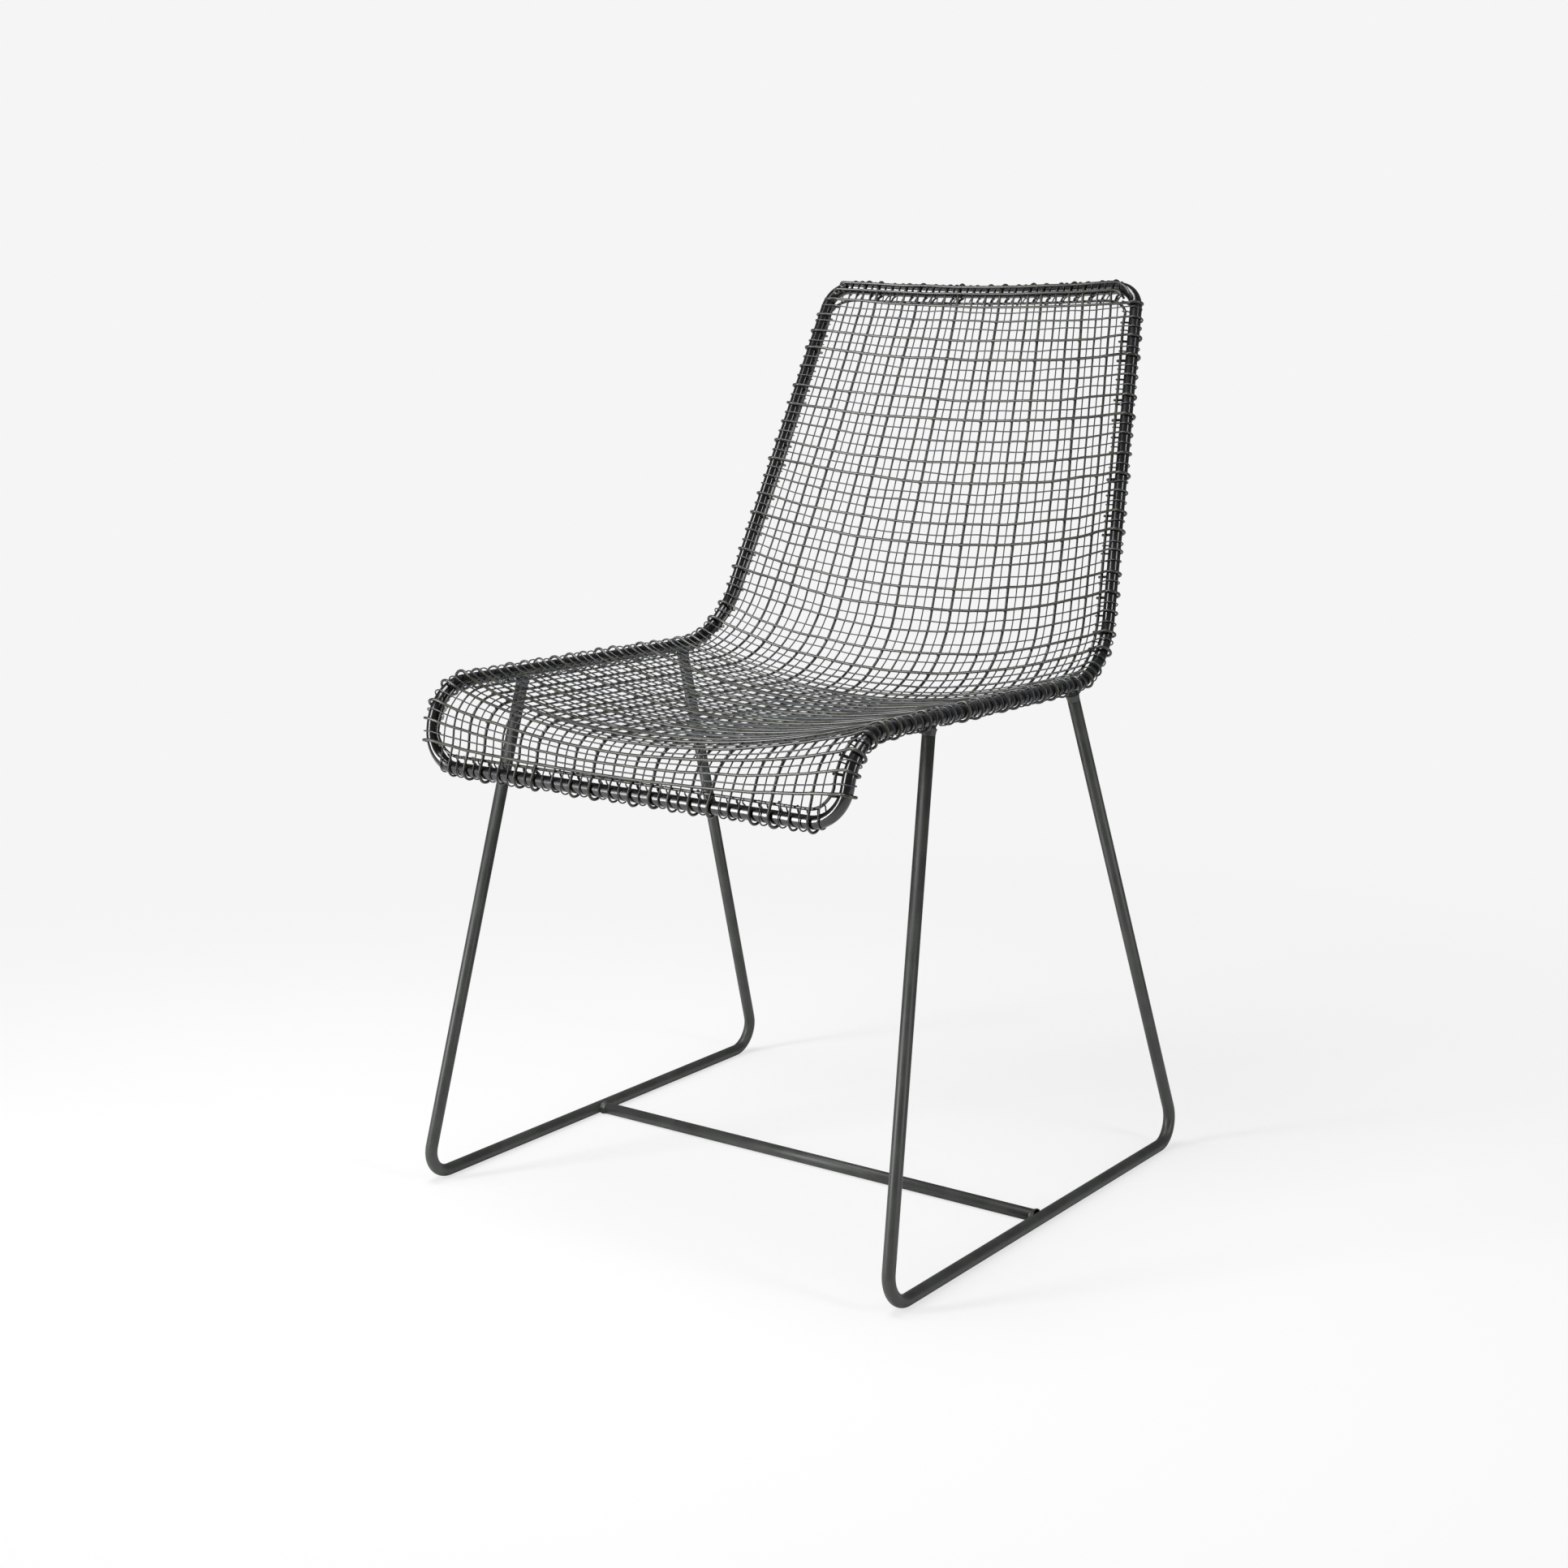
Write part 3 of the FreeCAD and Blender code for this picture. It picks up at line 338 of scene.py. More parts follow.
# %% Gloss black lacquer on the rim
def gloss_lacquer():
    """Black lacquer that pools a little: broad changes of gloss and a faint orange peel."""
    material, tree, place = new_material("gloss_black_lacquer_on_rod")
    # Pooled and rubbed places, a few centimetres long: the highlight along the rod swells and thins
    pooling = add_node(tree, "ShaderNodeTexNoise", {"Vector": place, "Scale": per_metre(35), "Detail": 3.0})
    gloss = add_node(tree, "ShaderNodeMapRange", {
        "Value": pooling.outputs["Fac"], "From Min": 0.3, "From Max": 0.7, "To Min": 0.16, "To Max": 0.28})
    # Dust in the film, drawn at 1.2 mm so that it still shows: tiny breaks in the highlight
    dust = add_node(tree, "ShaderNodeTexNoise", {"Vector": place, "Scale": per_metre(1.2), "Detail": 2.0})
    tint = add_node(tree, "ShaderNodeMapRange", {
        "Value": dust.outputs["Fac"], "From Min": 0.55, "From Max": 0.8, "To Min": 0.0, "To Max": 0.35})
    colour = add_node(tree, "ShaderNodeMix", {
        "Factor": tint.outputs["Result"], "A": linear("#070808"), "B": linear("#121313")},
        data_type="RGBA")
    peel = add_node(tree, "ShaderNodeBump", {
        "Height": dust.outputs["Fac"], "Strength": 0.12, "Distance": 0.2 * MILLIMETRE})
    film = add_node(tree, "ShaderNodeBsdfPrincipled", {
        "Base Color": colour.outputs["Result"], "Roughness": gloss.outputs["Result"], "Metallic": 0.0,
        "IOR": 1.5, "Coat Weight": 0.35, "Coat Roughness": 0.12, "Normal": peel.outputs["Normal"]})
    add_node(tree, "ShaderNodeOutputMaterial", {"Surface": film.outputs["BSDF"]})
    return material


# %% Satin powder coat on the sleds
def satin_powder_coat():
    """Dark grey powder coat: a fine leathery grain and slightly greyer rubbed patches."""
    material, tree, place = new_material("satin_grey_powder_coat")
    # Grain of the melted powder, really about 0.4 mm and drawn at 0.9 mm so that it shows as a soft sparkle
    grain = add_node(tree, "ShaderNodeTexNoise", {"Vector": place, "Scale": per_metre(0.9), "Detail": 4.0})
    rubbed = add_node(tree, "ShaderNodeTexNoise", {"Vector": place, "Scale": per_metre(24), "Detail": 5.0})
    wear = add_node(tree, "ShaderNodeMapRange", {
        "Value": rubbed.outputs["Fac"], "From Min": 0.4, "From Max": 0.75, "To Min": 0.0, "To Max": 0.5})
    colour = add_node(tree, "ShaderNodeMix", {
        "Factor": wear.outputs["Result"], "A": linear("#292c29"), "B": linear("#42463f")}, data_type="RGBA")
    sheen = add_node(tree, "ShaderNodeMapRange", {
        "Value": rubbed.outputs["Fac"], "From Min": 0.3, "From Max": 0.7, "To Min": 0.4, "To Max": 0.5})
    bump = add_node(tree, "ShaderNodeBump", {
        "Height": grain.outputs["Fac"], "Strength": 0.22, "Distance": 0.12 * MILLIMETRE})
    film = add_node(tree, "ShaderNodeBsdfPrincipled", {
        "Base Color": colour.outputs["Result"], "Roughness": sheen.outputs["Result"], "Metallic": 0.0,
        "IOR": 1.5, "Normal": bump.outputs["Normal"]})
    add_node(tree, "ShaderNodeOutputMaterial", {"Surface": film.outputs["BSDF"]})
    return material


# %% Lacquered drawn wire
def lacquered_wire(name, dark, light, roughness):
    """Thin grey lacquer on drawn steel wire: tone wanders along each wire and the coat thins in places."""
    material, tree, place = new_material(name)
    # Uneven dip coat, patches of about 18 mm: neighbouring wires aren't all of one tone
    patches = add_node(tree, "ShaderNodeTexNoise", {"Vector": place, "Scale": per_metre(18), "Detail": 4.0})
    thin = add_node(tree, "ShaderNodeMapRange", {
        "Value": patches.outputs["Fac"], "From Min": 0.35, "From Max": 0.7, "To Min": 0.0, "To Max": 1.0})
    colour = add_node(tree, "ShaderNodeMix", {
        "Factor": thin.outputs["Result"], "A": linear(dark), "B": linear(light)}, data_type="RGBA")
    # Drawing marks and drips of lacquer, drawn at 1.5 mm: the highlight along a wire breaks up
    drips = add_node(tree, "ShaderNodeTexNoise", {"Vector": place, "Scale": per_metre(1.5), "Detail": 2.0})
    bump = add_node(tree, "ShaderNodeBump", {
        "Height": drips.outputs["Fac"], "Strength": 0.2, "Distance": 0.1 * MILLIMETRE})
    film = add_node(tree, "ShaderNodeBsdfPrincipled", {
        "Base Color": colour.outputs["Result"], "Roughness": roughness, "Metallic": 0.0, "IOR": 1.5,
        "Normal": bump.outputs["Normal"]})
    add_node(tree, "ShaderNodeOutputMaterial", {"Surface": film.outputs["BSDF"]})
    return material


RIM_FINISH = gloss_lacquer()
SLED_FINISH = satin_powder_coat()
WIRE_FINISH = lacquered_wire("satin_lacquer_on_drawn_wire", "#1f201d", "#3e4037", 0.25)
THIN_FINISH = lacquered_wire("satin_lacquer_on_thin_wire", "#222628", "#3b4142", 0.3)
FINISH = {"heavy": WIRE_FINISH, "medium": WIRE_FINISH, "fine": THIN_FINISH, "light": THIN_FINISH}
print("finishes:", ", ".join(material.name for material in bpy.data.materials))

# %% [markdown]
# ## The rim
# One rod, bent in a closed loop. A rod with a round section along a line of runs and arcs could be a curve
# with a bevel; as an array the line can be shared with the wires that wrap round it. The half on the
# sitter's left is worked out from the middle of the top to the middle of the low front, then mirrored.

# %% The rim's centre line
# Share of the top rim's half width that is bowed, and the number of points on each arc of the rim
BOW_SHARE, ARC_POINTS = 0.78, 25
# A run whose rise is less than this share of its length counts as a run across the chair
ACROSS_LIMIT = 0.35
# The top rim dips in its middle and lifts at its ends. Both fade in over a height that starts this far
# below the top corner, and the lowest place lies off the middle by this share of the half width.
TOP_DIP, TOP_LIFT, FADE_START, FADE_HEIGHT, DIP_PLACE = 2.3, 0.1, 22.0, 18.0, 0.15


def bend_line(corners, radii, steps):
    """Points along runs joined by arcs. Each arc is the weighted curve through start, corner and end."""
    before, corner, after = corners[:-2], corners[1:-1], corners[2:]
    turn = turn_at(before, corner, after)
    setback = (np.asarray(radii) * np.tan(turn / 2))[:, None]
    start, end = corner + unit(before - corner) * setback, corner + unit(after - corner) * setback
    share = np.linspace(0, 1, steps)[None, :, None]
    pull = np.cos(turn / 2)[:, None, None] * 2 * share * (1 - share)
    arcs = (start[:, None] * (1 - share) ** 2 + corner[:, None] * pull + end[:, None] * share ** 2) / (
        (1 - share) ** 2 + pull + share ** 2)
    return np.concatenate([corners[:1], arcs.reshape(-1, 3), corners[-1:]])


def half_loop(corners, radii, bow):
    """A half rim from top middle to low middle, with the top run bowed back, and its sitter normals."""
    top = corners[0] - BACK_NORMAL * (bow / (1 - BOW_SHARE / 2))
    top[0] = 0
    other = corners[0] * [-1, 1, 1]
    bow_turn = turn_at(corners[0], top, other)
    setback = BOW_SHARE * np.linalg.norm(corners[0] - top)
    low = corners[-1] * [0, 1, 1]
    radii = [setback / np.tan(bow_turn / 2), *radii]
    line = bend_line(np.vstack([other, top, corners, low]), radii, ARC_POINTS)
    line = line[1 + ARC_POINTS // 2:]
    along = np.gradient(line, axis=0)
    # A run straight across has no sitter normal of its own: a hair of fall avoids a division by zero
    normal = sitter_normal(along + np.array([0, 0, -1e-6]))
    across = np.linalg.norm(along[:, 1:], axis=1) < ACROSS_LIMIT * np.linalg.norm(along, axis=1)
    normal[across & (line[:, 2] > RIM[1, 2])] = BACK_NORMAL
    normal[across & (line[:, 2] < RIM[1, 2])] = LIP_NORMAL
    return line, normal


def closed_loop(line, normal):
    """The half loop and its mirror image as one closed path."""
    other = slice(-2, 0, -1)
    path = np.vstack([line, line[other] * [-1, 1, 1]])
    return path, np.vstack([normal, normal[other] * [-1, 1, 1]])


def with_top_dip(points):
    """Points near the top rim, moved up by the lift less the sum of lift and dip times one minus the
    square of their share of the half width, which is counted from the place of the dip."""
    moved = np.array(points, dtype=float)
    fade = np.clip((moved[..., 2] - (RIM[0, 2] - FADE_START)) / FADE_HEIGHT, 0, 1)
    across = np.clip(moved[..., 0] / RIM[0, 0], -1, 1) - DIP_PLACE
    moved[..., 2] += fade * (TOP_LIFT - (TOP_LIFT + TOP_DIP) * (1 - across ** 2))
    return moved


rim_half = half_loop(RIM[[0, 2, 3, 4]], [TOP_RADIUS, BEND_RADIUS, FRONT_RADIUS, LOW_RADIUS], TOP_BOW)
rim_path, rim_normal = closed_loop(*rim_half)
rim = add_piece(
    "rim_rod_round",
    with_top_dip(tube_grid(rim_path[None], rim_normal[None], ROD, RIM_SIDES, closed=True)),
    RIM_FINISH, ["rim_rod"], closed=True)
print("rim faces:", len(rim.data.polygons))

# %% [markdown]
# ## The inner edge wire
# A heavy wire runs just inside the rim. The tails of all the other wires are bent round it, which is how the
# mesh stays tight. At the sides it is level with the long wires; above and below it passes behind them.

# %% Inner edge wire
EDGE_DROP = DIAMETER["heavy"] / 2 + SEATING
EDGE_BEHIND = DIAMETER["heavy"] + SEATING
TOP_EDGE_GAP = EDGE_INSET + DIAMETER["heavy"]
# Distances along the rim between which it runs beside the shell, and the number of points there
EDGE_FROM, EDGE_TO, EDGE_POINTS = 36, 765, 74
# Shares of the half width at which its top run and its low run have points, and where both meet a corner
TOP_SHARES, LOW_SHARES = np.array([0.0, 0.25, 0.5, 0.72]), np.array([0.84, 0.5, 0.25, 0.0])
TOP_CORNER_SHARE, LOW_CORNER_SHARE, TOP_CORNER_BOW = 0.93, 0.94, 0.14
# How far the run beside the shell is carried on straight at both ends
CARRY_UP, CARRY_DOWN = 13, 12


def inner_edge_line():
    """Half of the edge wire, from the middle of the top to the middle of the low front: the bowed top
    run, two points round its corner, the shell's line of share one, two points and the low run."""
    top_corner = RIM_FACE[0] - UP_BACK * TOP_EDGE_GAP - BACK_NORMAL * (EDGE_DROP + EDGE_BEHIND)
    low_corner = RIM_FACE[4] - DOWN_LIP * EDGE_INSET - LIP_NORMAL * (EDGE_DROP + EDGE_BEHIND)
    half_top = RIM_FACE[0, 0] - EDGE_INSET
    half_low = RIM_FACE[4, 0] - EDGE_INSET
    top = top_corner - BACK_NORMAL * (TOP_BOW * (1 - TOP_SHARES ** 2))[:, None]
    top[:, 0] = half_top * TOP_SHARES
    side_at = np.linspace(EDGE_FROM, EDGE_TO, EDGE_POINTS)
    side, normal = shell(np.ones_like(side_at), side_at)
    side = side - normal * EDGE_DROP
    low = np.repeat(low_corner[None], len(LOW_SHARES), axis=0)
    low[:, 0] = half_low * LOW_SHARES
    into_top = top_corner - BACK_NORMAL * TOP_BOW * TOP_CORNER_BOW
    into_top[0] = half_top * TOP_CORNER_SHARE
    into_low = low_corner * 1.0
    into_low[0] = half_low * LOW_CORNER_SHARE
    above = np.vstack([top, into_top, side[0] + UP_BACK * CARRY_UP])
    below = np.vstack([side[-1] + DOWN_LIP * CARRY_DOWN, into_low, low])
    back, lip = np.broadcast_to(BACK_NORMAL, above.shape), np.broadcast_to(LIP_NORMAL, below.shape)
    return np.vstack([above, side, below]), np.vstack([back, normal, lip])


def rounded_loop(points, run_on=3):
    """A loop with its corners cut: it runs on past its start and its end, is rounded, and is cut back. A
    short stretch at the seam, in the middle of the top, is left doubled."""
    points = rounded(np.vstack([points[-run_on:], points, points[:run_on]]))
    return points[3 * run_on:-3 * run_on]


edge_path, edge_reference = [rounded_loop(points)[None] for points in closed_loop(*inner_edge_line())]
edge_grid = tube_grid(
    edge_path, edge_reference, DIAMETER["heavy"] / 2, WIRE_SIDES["heavy"], closed=True)
add_piece(
    "inner_edge_wire_round", with_top_dip(edge_grid), WIRE_FINISH, ["inner_edge_wire"], closed=True)
print("points on the inner edge wire:", edge_path.shape[1])

# %% [markdown]
# ## Crossings
# The mesh is welded at each crossing, so a cross wire and a long wire pass through one point. One grid
# of crossings, rows by strands, serves both. Even spacing alone would look like a printed pattern, so
# each row of heavy cross wires also has its slack at both rims and in the middle, because the real wires
# don't hang quite level. The rows between follow their neighbours, and every crossing wanders a little.

# %% The plan of cross wires and long wires
# Gauges repeat in the same order along both families; the front lip has a shorter pattern
PATTERN = ["light", "fine", "light", "medium", "light", "heavy"]
LIP_PATTERN = ["light", "medium", "light", "heavy"]
BACK_WIRES, SEAT_WIRES, LIP_WIRES = 42, 30, 8
ROWS = BACK_WIRES + SEAT_WIRES + LIP_WIRES
LONG_WIRES = 41
# The strands are the long wires and the edge wire on each side
STRANDS = LONG_WIRES + 2
# Distances along the rim of the first row, the first rows of seat and lip, and the last row
FIRST_ROW, SEAT_FROM, LIP_FROM, LAST_ROW = 22.1, RIM_BACK + 10.6, RIM_SEAT + 11.8, RIM_WHOLE - 24.7

row_distance = np.concatenate([
    np.linspace(FIRST_ROW, SEAT_FROM, BACK_WIRES, endpoint=False),
    np.linspace(SEAT_FROM, LIP_FROM, SEAT_WIRES, endpoint=False),
    np.linspace(LIP_FROM, LAST_ROW, LIP_WIRES)])
row_gauge = np.array((PATTERN * 12)[:BACK_WIRES + SEAT_WIRES] + LIP_PATTERN * 2)
row_zone = np.array(["back"] * BACK_WIRES + ["seat"] * SEAT_WIRES + ["lip"] * LIP_WIRES)
row_size = np.array([DIAMETER[gauge] for gauge in row_gauge])
column_gauge = np.array((PATTERN * 7)[:LONG_WIRES])
column_size = np.array([DIAMETER[gauge] for gauge in column_gauge])
strand_share = np.linspace(-1, 1, STRANDS)
print("cross wires:", ROWS, "- long wires:", LONG_WIRES)

# %% The grid of crossings
# Slack of each heavy row at the rim on the sitter's right, in the middle and at the sitter's left
HEAVY_SLACK = np.array([
    [-4.6, 0.4, -1.1], [-1.5, 1.0, -1.0], [-0.8, 1.7, -1.8], [-0.2, 0.0, -4.0], [0.5, -1.0, -3.5],
    [4.1, 3.0, -3.4], [2.0, 1.0, -3.0], [0.0, 0.0, -1.5], [0.5, 0.5, -1.0], [0.5, 1.0, 0.0],
    [1.0, 2.0, 0.0], [2.0, 4.0, 0.0], [4.0, 5.5, 0.0], [4.0, 3.5, 0.0]])


def smooth_noise(rows, columns, knots, size):
    """Random curves: uniform values at knots, with smooth steps between them, 3 t squared - 2 t cubed."""
    values = luck.uniform(-1, 1, (rows, knots)) * size
    at = np.linspace(0, knots - 1, columns)
    low = np.minimum(at.astype(int), knots - 2)
    share = at - low
    share = share * share * (3 - 2 * share)
    return values[:, low] * (1 - share) + values[:, low + 1] * share


heavy_rows = np.flatnonzero(row_gauge == "heavy")
knot_rows = np.concatenate([[-1], heavy_rows])
knot_slack = np.vstack([HEAVY_SLACK[:1] * 0.5, HEAVY_SLACK])
right_slack, middle_slack, left_slack = (
    np.interp(np.arange(ROWS), knot_rows, column)[:, None] for column in knot_slack.T)


def sagging(right, middle, left):
    """A curve across the strands through three values: middle + tilt * share + sag * share squared."""
    return middle + (left - right) / 2 * strand_share + ((left + right) / 2 - middle) * strand_share ** 2


# How far a wire bends along its way, how far it is out of its even place, and the jitter of a crossing
WANDER = {"heavy": 0.9, "medium": 0.9, "fine": 0.9, "light": 1.0}
OFFSET = {"heavy": 0.0, "medium": 0.7, "fine": 0.8, "light": 1.1}
JITTER, SHARE_WANDER, SHARE_JITTER = 0.25, 0.0036, 0.001
# Bends along a cross wire and along a long wire
CROSS_KNOTS, LONG_KNOTS = 11, 14
row_wander = np.array([WANDER[gauge] for gauge in row_gauge])[:, None]
row_offset = luck.uniform(-1, 1, (ROWS, 1)) * np.array([OFFSET[gauge] for gauge in row_gauge])[:, None]
station = row_distance[:, None] + sagging(right_slack, middle_slack, left_slack) + row_offset
station = station + smooth_noise(ROWS, STRANDS, CROSS_KNOTS, 1.0) * row_wander
station = station + luck.uniform(-JITTER, JITTER, (ROWS, STRANDS))
share_wander = (smooth_noise(STRANDS, ROWS, LONG_KNOTS, 1.0) * SHARE_WANDER).T
share_wander = share_wander + luck.uniform(-SHARE_JITTER, SHARE_JITTER, (ROWS, STRANDS))
share_wander[:, [0, -1]] = 0
crossing, crossing_normal = shell(strand_share + share_wander, station)
print("crossings:", station.size)

# %% [markdown]
# ## Wire ends
# Every wire ends in a hook: over the rim from the sitter's side, down its outside, back underneath and up
# round the inner edge wire. A hook could be drawn by hand once and copied, but the rim turns and the
# hooks sit tight on the back and loose on the seat, so they're worked out in the plane square to the rim.

# %% Hooks
# Angles round the rod, in degrees from its outside towards the sitter, and the corners in between. A
# hook that meets a leg is cut off at an earlier angle.
HOOK_START, HOOK_END, CUT_END, HOOK_CORNERS = 108.0, -158.0, -28.0, 9
# The tail passes round the edge wire at this clearance, through points out and up in shares of it
TAIL_CLEAR, TAIL_OUT, TAIL_UP = 1.3, np.array([0.35, -0.95, -1.1]), np.array([-1.1, -0.75, -0.1])
# A hook that is cut off ends with three points these far below its last corner
CUT_DROP = np.array([0.3, 0.6, 0.9])


def hook_points(centre, outward, normal, along, wire, slack, edge, lean, last_angle):
    """Control points (n, 12, 3) of hooks round a rod.

    Corner k lies at angle a_k from outward towards normal, at rod + wire / 2 + slack(a) over the
    cosine of half a step, where slack(a) blends the values above, beyond and below by the squared sine
    and cosine. Three more points pass under the inner edge wire and up its far side. The hook drifts
    along the rod by lean from start to end."""
    angle = np.radians(np.linspace(HOOK_START, last_angle, HOOK_CORNERS)).T
    step = np.abs(angle[:, 1] - angle[:, 0])[:, None]
    above, beyond, below = (s[:, None] for s in slack)
    room = (above * np.maximum(np.sin(angle), 0) ** 2 + beyond * np.maximum(np.cos(angle), 0) ** 2
            + below * np.maximum(-np.sin(angle), 0) ** 2)
    reach = (ROD + wire[:, None] / 2 + room) / np.cos(step / 2)
    out, up = reach * np.cos(angle), reach * np.sin(angle)
    whole = (last_angle == HOOK_END)[:, None]
    clear = TAIL_CLEAR + wire[:, None] / 2
    tail_out = np.where(whole, edge[:, :1] + clear * TAIL_OUT, out[:, -1:])
    tail_up = np.where(whole, edge[:, 1:] + clear * TAIL_UP, up[:, -1:] - CUT_DROP)
    out, up = np.hstack([out, tail_out]), np.hstack([up, tail_up])
    drift = np.linspace(0, 1, out.shape[1])[None] * lean[:, None]
    return (centre[:, None] + outward[:, None] * out[..., None] + normal[:, None] * up[..., None]
            + along[:, None] * drift[..., None])


def corner_inset(over, radius):
    """How far an arc of this radius departs from its tangent at a distance past its start."""
    return radius - np.sqrt(radius ** 2 - np.clip(over, 0, radius) ** 2)


print("control points of a hook:", HOOK_CORNERS + len(TAIL_OUT))

# %% [markdown]
# ## Cross wires
# A cross wire is one path: tail and hook on one side, the crossings of its row lifted by half its own
# thickness, hook and tail on the other. On the bend and the seat the hooks are loose rings that stand a
# millimetre or two off the rod; on the straight of the back they sit close.

# %% Cross wire ends
# The legs' tops under the seat, as places along Y and as distances along the rim
FRONT_TOP_Y, REAR_TOP_Y = -151.2, 75.3
seat_start_y = stretches(RIM_FACE[None], RIM_SETBACKS[None])[0][0, 4, 0, 1]
LEG_STATIONS = RIM_BACK + seat_start_y - np.array([REAR_TOP_Y, FRONT_TOP_Y])
LEG_CLEARANCE = 1.7
# How near to the rim's two ends its rounded corners begin, along the rim
TOP_ARC, LOW_ARC = 29.0, 29.5
# Looseness of the hooks above the rod, and how far they stand off outside and below it, along the rim
looseness = np.interp(
    row_distance, [0, 300, 350, 400, 640, 700, 780], [0.15, 0.25, 0.8, 1.1, 1.2, 1.0, 0.35])
bulge = np.interp(
    row_distance, [0, 300, 350, 560, 640, 700, 780], [0.3, 0.5, 0.9, 0.9, 1.7, 1.5, 1.3])


def cross_ends(side, at, entry, row_size, looseness, bulge):
    """The hooks of cross wires on one side, from their distances along the rim and the edge wire there."""
    count = len(at)
    sides = np.full(count, float(side))
    face, normal = rim_line(sides, at)
    along = unit(rim_line(sides, at + HALF_STEP)[0] - rim_line(sides, at - HALF_STEP)[0])
    outward = unit(sides[:, None] * np.array([1.0, 0, 0]) - along * (along[:, :1] * sides[:, None]))
    normal = unit(normal - outward * np.sum(normal * outward, axis=1, keepdims=True))
    inset = corner_inset(TOP_ARC - at, TOP_RADIUS) + corner_inset(at - (RIM_WHOLE - LOW_ARC), LOW_RADIUS)
    centre = face - normal * (ROD + SEATING) - outward * inset[:, None]
    edge = np.stack(
        [np.sum((entry - centre) * direction, axis=1) for direction in (outward, normal)], axis=1)
    slack = (
        0.15 + looseness * luck.uniform(0.8, 2.0, count),
        0.10 + bulge * luck.uniform(0.2, 1.2, count),
        0.15 + bulge * luck.uniform(0.0, 0.9, count))
    lean = row_size * luck.uniform(1.1, 1.8, count) * np.where(luck.random(count) < 0.8, 1, -1)
    at_leg = np.min(np.abs(at[:, None] - LEG_STATIONS), axis=1) < ROD + LEG_CLEARANCE + row_size
    last_angle = np.where(at_leg, CUT_END, HOOK_END)
    return hook_points(centre, outward, normal, along, row_size, slack, edge, lean, last_angle)


def cross_paths(at, crossing, normal, row_size, looseness, bulge):
    """Whole cross wires: tail and hook, the lifted crossings of each row, hook and tail."""
    body = crossing + normal * ((row_size + SEATING) / 2)[:, None, None]
    ends = [
        cross_ends(side, at[:, k], crossing[:, k] - normal[:, k] * EDGE_DROP, row_size, looseness, bulge)
        for side, k in ((-1, 0), (1, -1))]
    return rounded(np.concatenate([ends[0][:, ::-1], body, ends[1]], axis=1))


cross_path = cross_paths(station, crossing, crossing_normal, row_size, looseness, bulge)
row_along = unit(np.gradient(crossing, axis=0)[:, STRANDS // 2])
cross_reference = np.broadcast_to(row_along[:, None], cross_path.shape)
print("points on a cross wire:", cross_path.shape[1])


# %% Cross wires as pieces
def wire_tubes(paths, reference, gauge):
    """Round tubes of one gauge, with the dip of the top rim."""
    return with_top_dip(tube_grid(paths, reference, DIAMETER[gauge] / 2, WIRE_SIDES[gauge]))


def add_wires(node, paths, reference, gauge):
    """The wires of one node of the frame, drawn round."""
    add_piece(node + "_round", wire_tubes(paths, reference, gauge), FINISH[gauge], [node])


for number, row in enumerate(heavy_rows, start=1):
    add_wires(f"heavy_cross_wire_{number:02d}", cross_path[[row]], cross_reference[[row]], "heavy")
for gauge in ("medium", "fine", "light"):
    for zone in ("back", "seat", "lip"):
        chosen = (row_gauge == gauge) & (row_zone == zone)
        if chosen.any():
            add_wires(f"{gauge}_cross_wires_{zone}", cross_path[chosen], cross_reference[chosen], gauge)
print("cross wires drawn round:", ROWS)

# %% [markdown]
# ## The highest cross wire
# One more heavy wire crosses right under the top corners, where the rim is already turning. Its hooks
# grip the rounded corners, and it dips towards the middle like its neighbours, so it is one more row
# made by the same functions.

# %% Highest cross wire
# Its distance along the rim at the sitter's right, in the middle and at the sitter's left
TOP_ROW = 13.5, 18.2, 18.0
top_at = sagging(*TOP_ROW) + smooth_noise(1, STRANDS, CROSS_KNOTS, 0.7)
top_crossing, top_normal = shell(strand_share[None], top_at)
top_size, top_looseness, top_bulge = np.array([[DIAMETER["heavy"]], [0.5], [1.0]])
top_path = cross_paths(top_at, top_crossing, top_normal, top_size, top_looseness, top_bulge)
top_reference = np.broadcast_to(row_along[0], top_path.shape)
add_piece("highest_cross_wire", wire_tubes(top_path, top_reference, "heavy"), WIRE_FINISH)
print("middle of the highest cross wire, mm:", top_crossing[0, STRANDS // 2].round(1).tolist())

# %% [markdown]
# ## Long wires
# The long wires run behind the cross wires from the top rim to the low front rim and are hooked round
# both. Their path is a column of the grid of crossings, set back by half their thickness, so the same
# functions serve again and the two families touch wherever they cross.

# %% Long wires
columns = slice(1, -1)
# The long wires stand a little closer together at the top rim than at their first crossing
TOP_SQUEEZE = 0.985
# Their tails are this much shorter than those of the cross wires, give or take
TAIL_SHORT, TAIL_LEAST, TAIL_MOST = 1.6, -0.8, 1.2


def top_depth(x):
    """How far the top rim's centre line lies behind its corners: a parabola in the middle, runs beside it."""
    half, apex = RIM[0, 0], TOP_BOW / (1 - BOW_SHARE / 2)
    start = BOW_SHARE * half
    arc = TOP_BOW - apex / half * x ** 2 / (2 * start)
    return np.where(np.abs(x) < start, arc, apex * (1 - np.abs(x) / half))


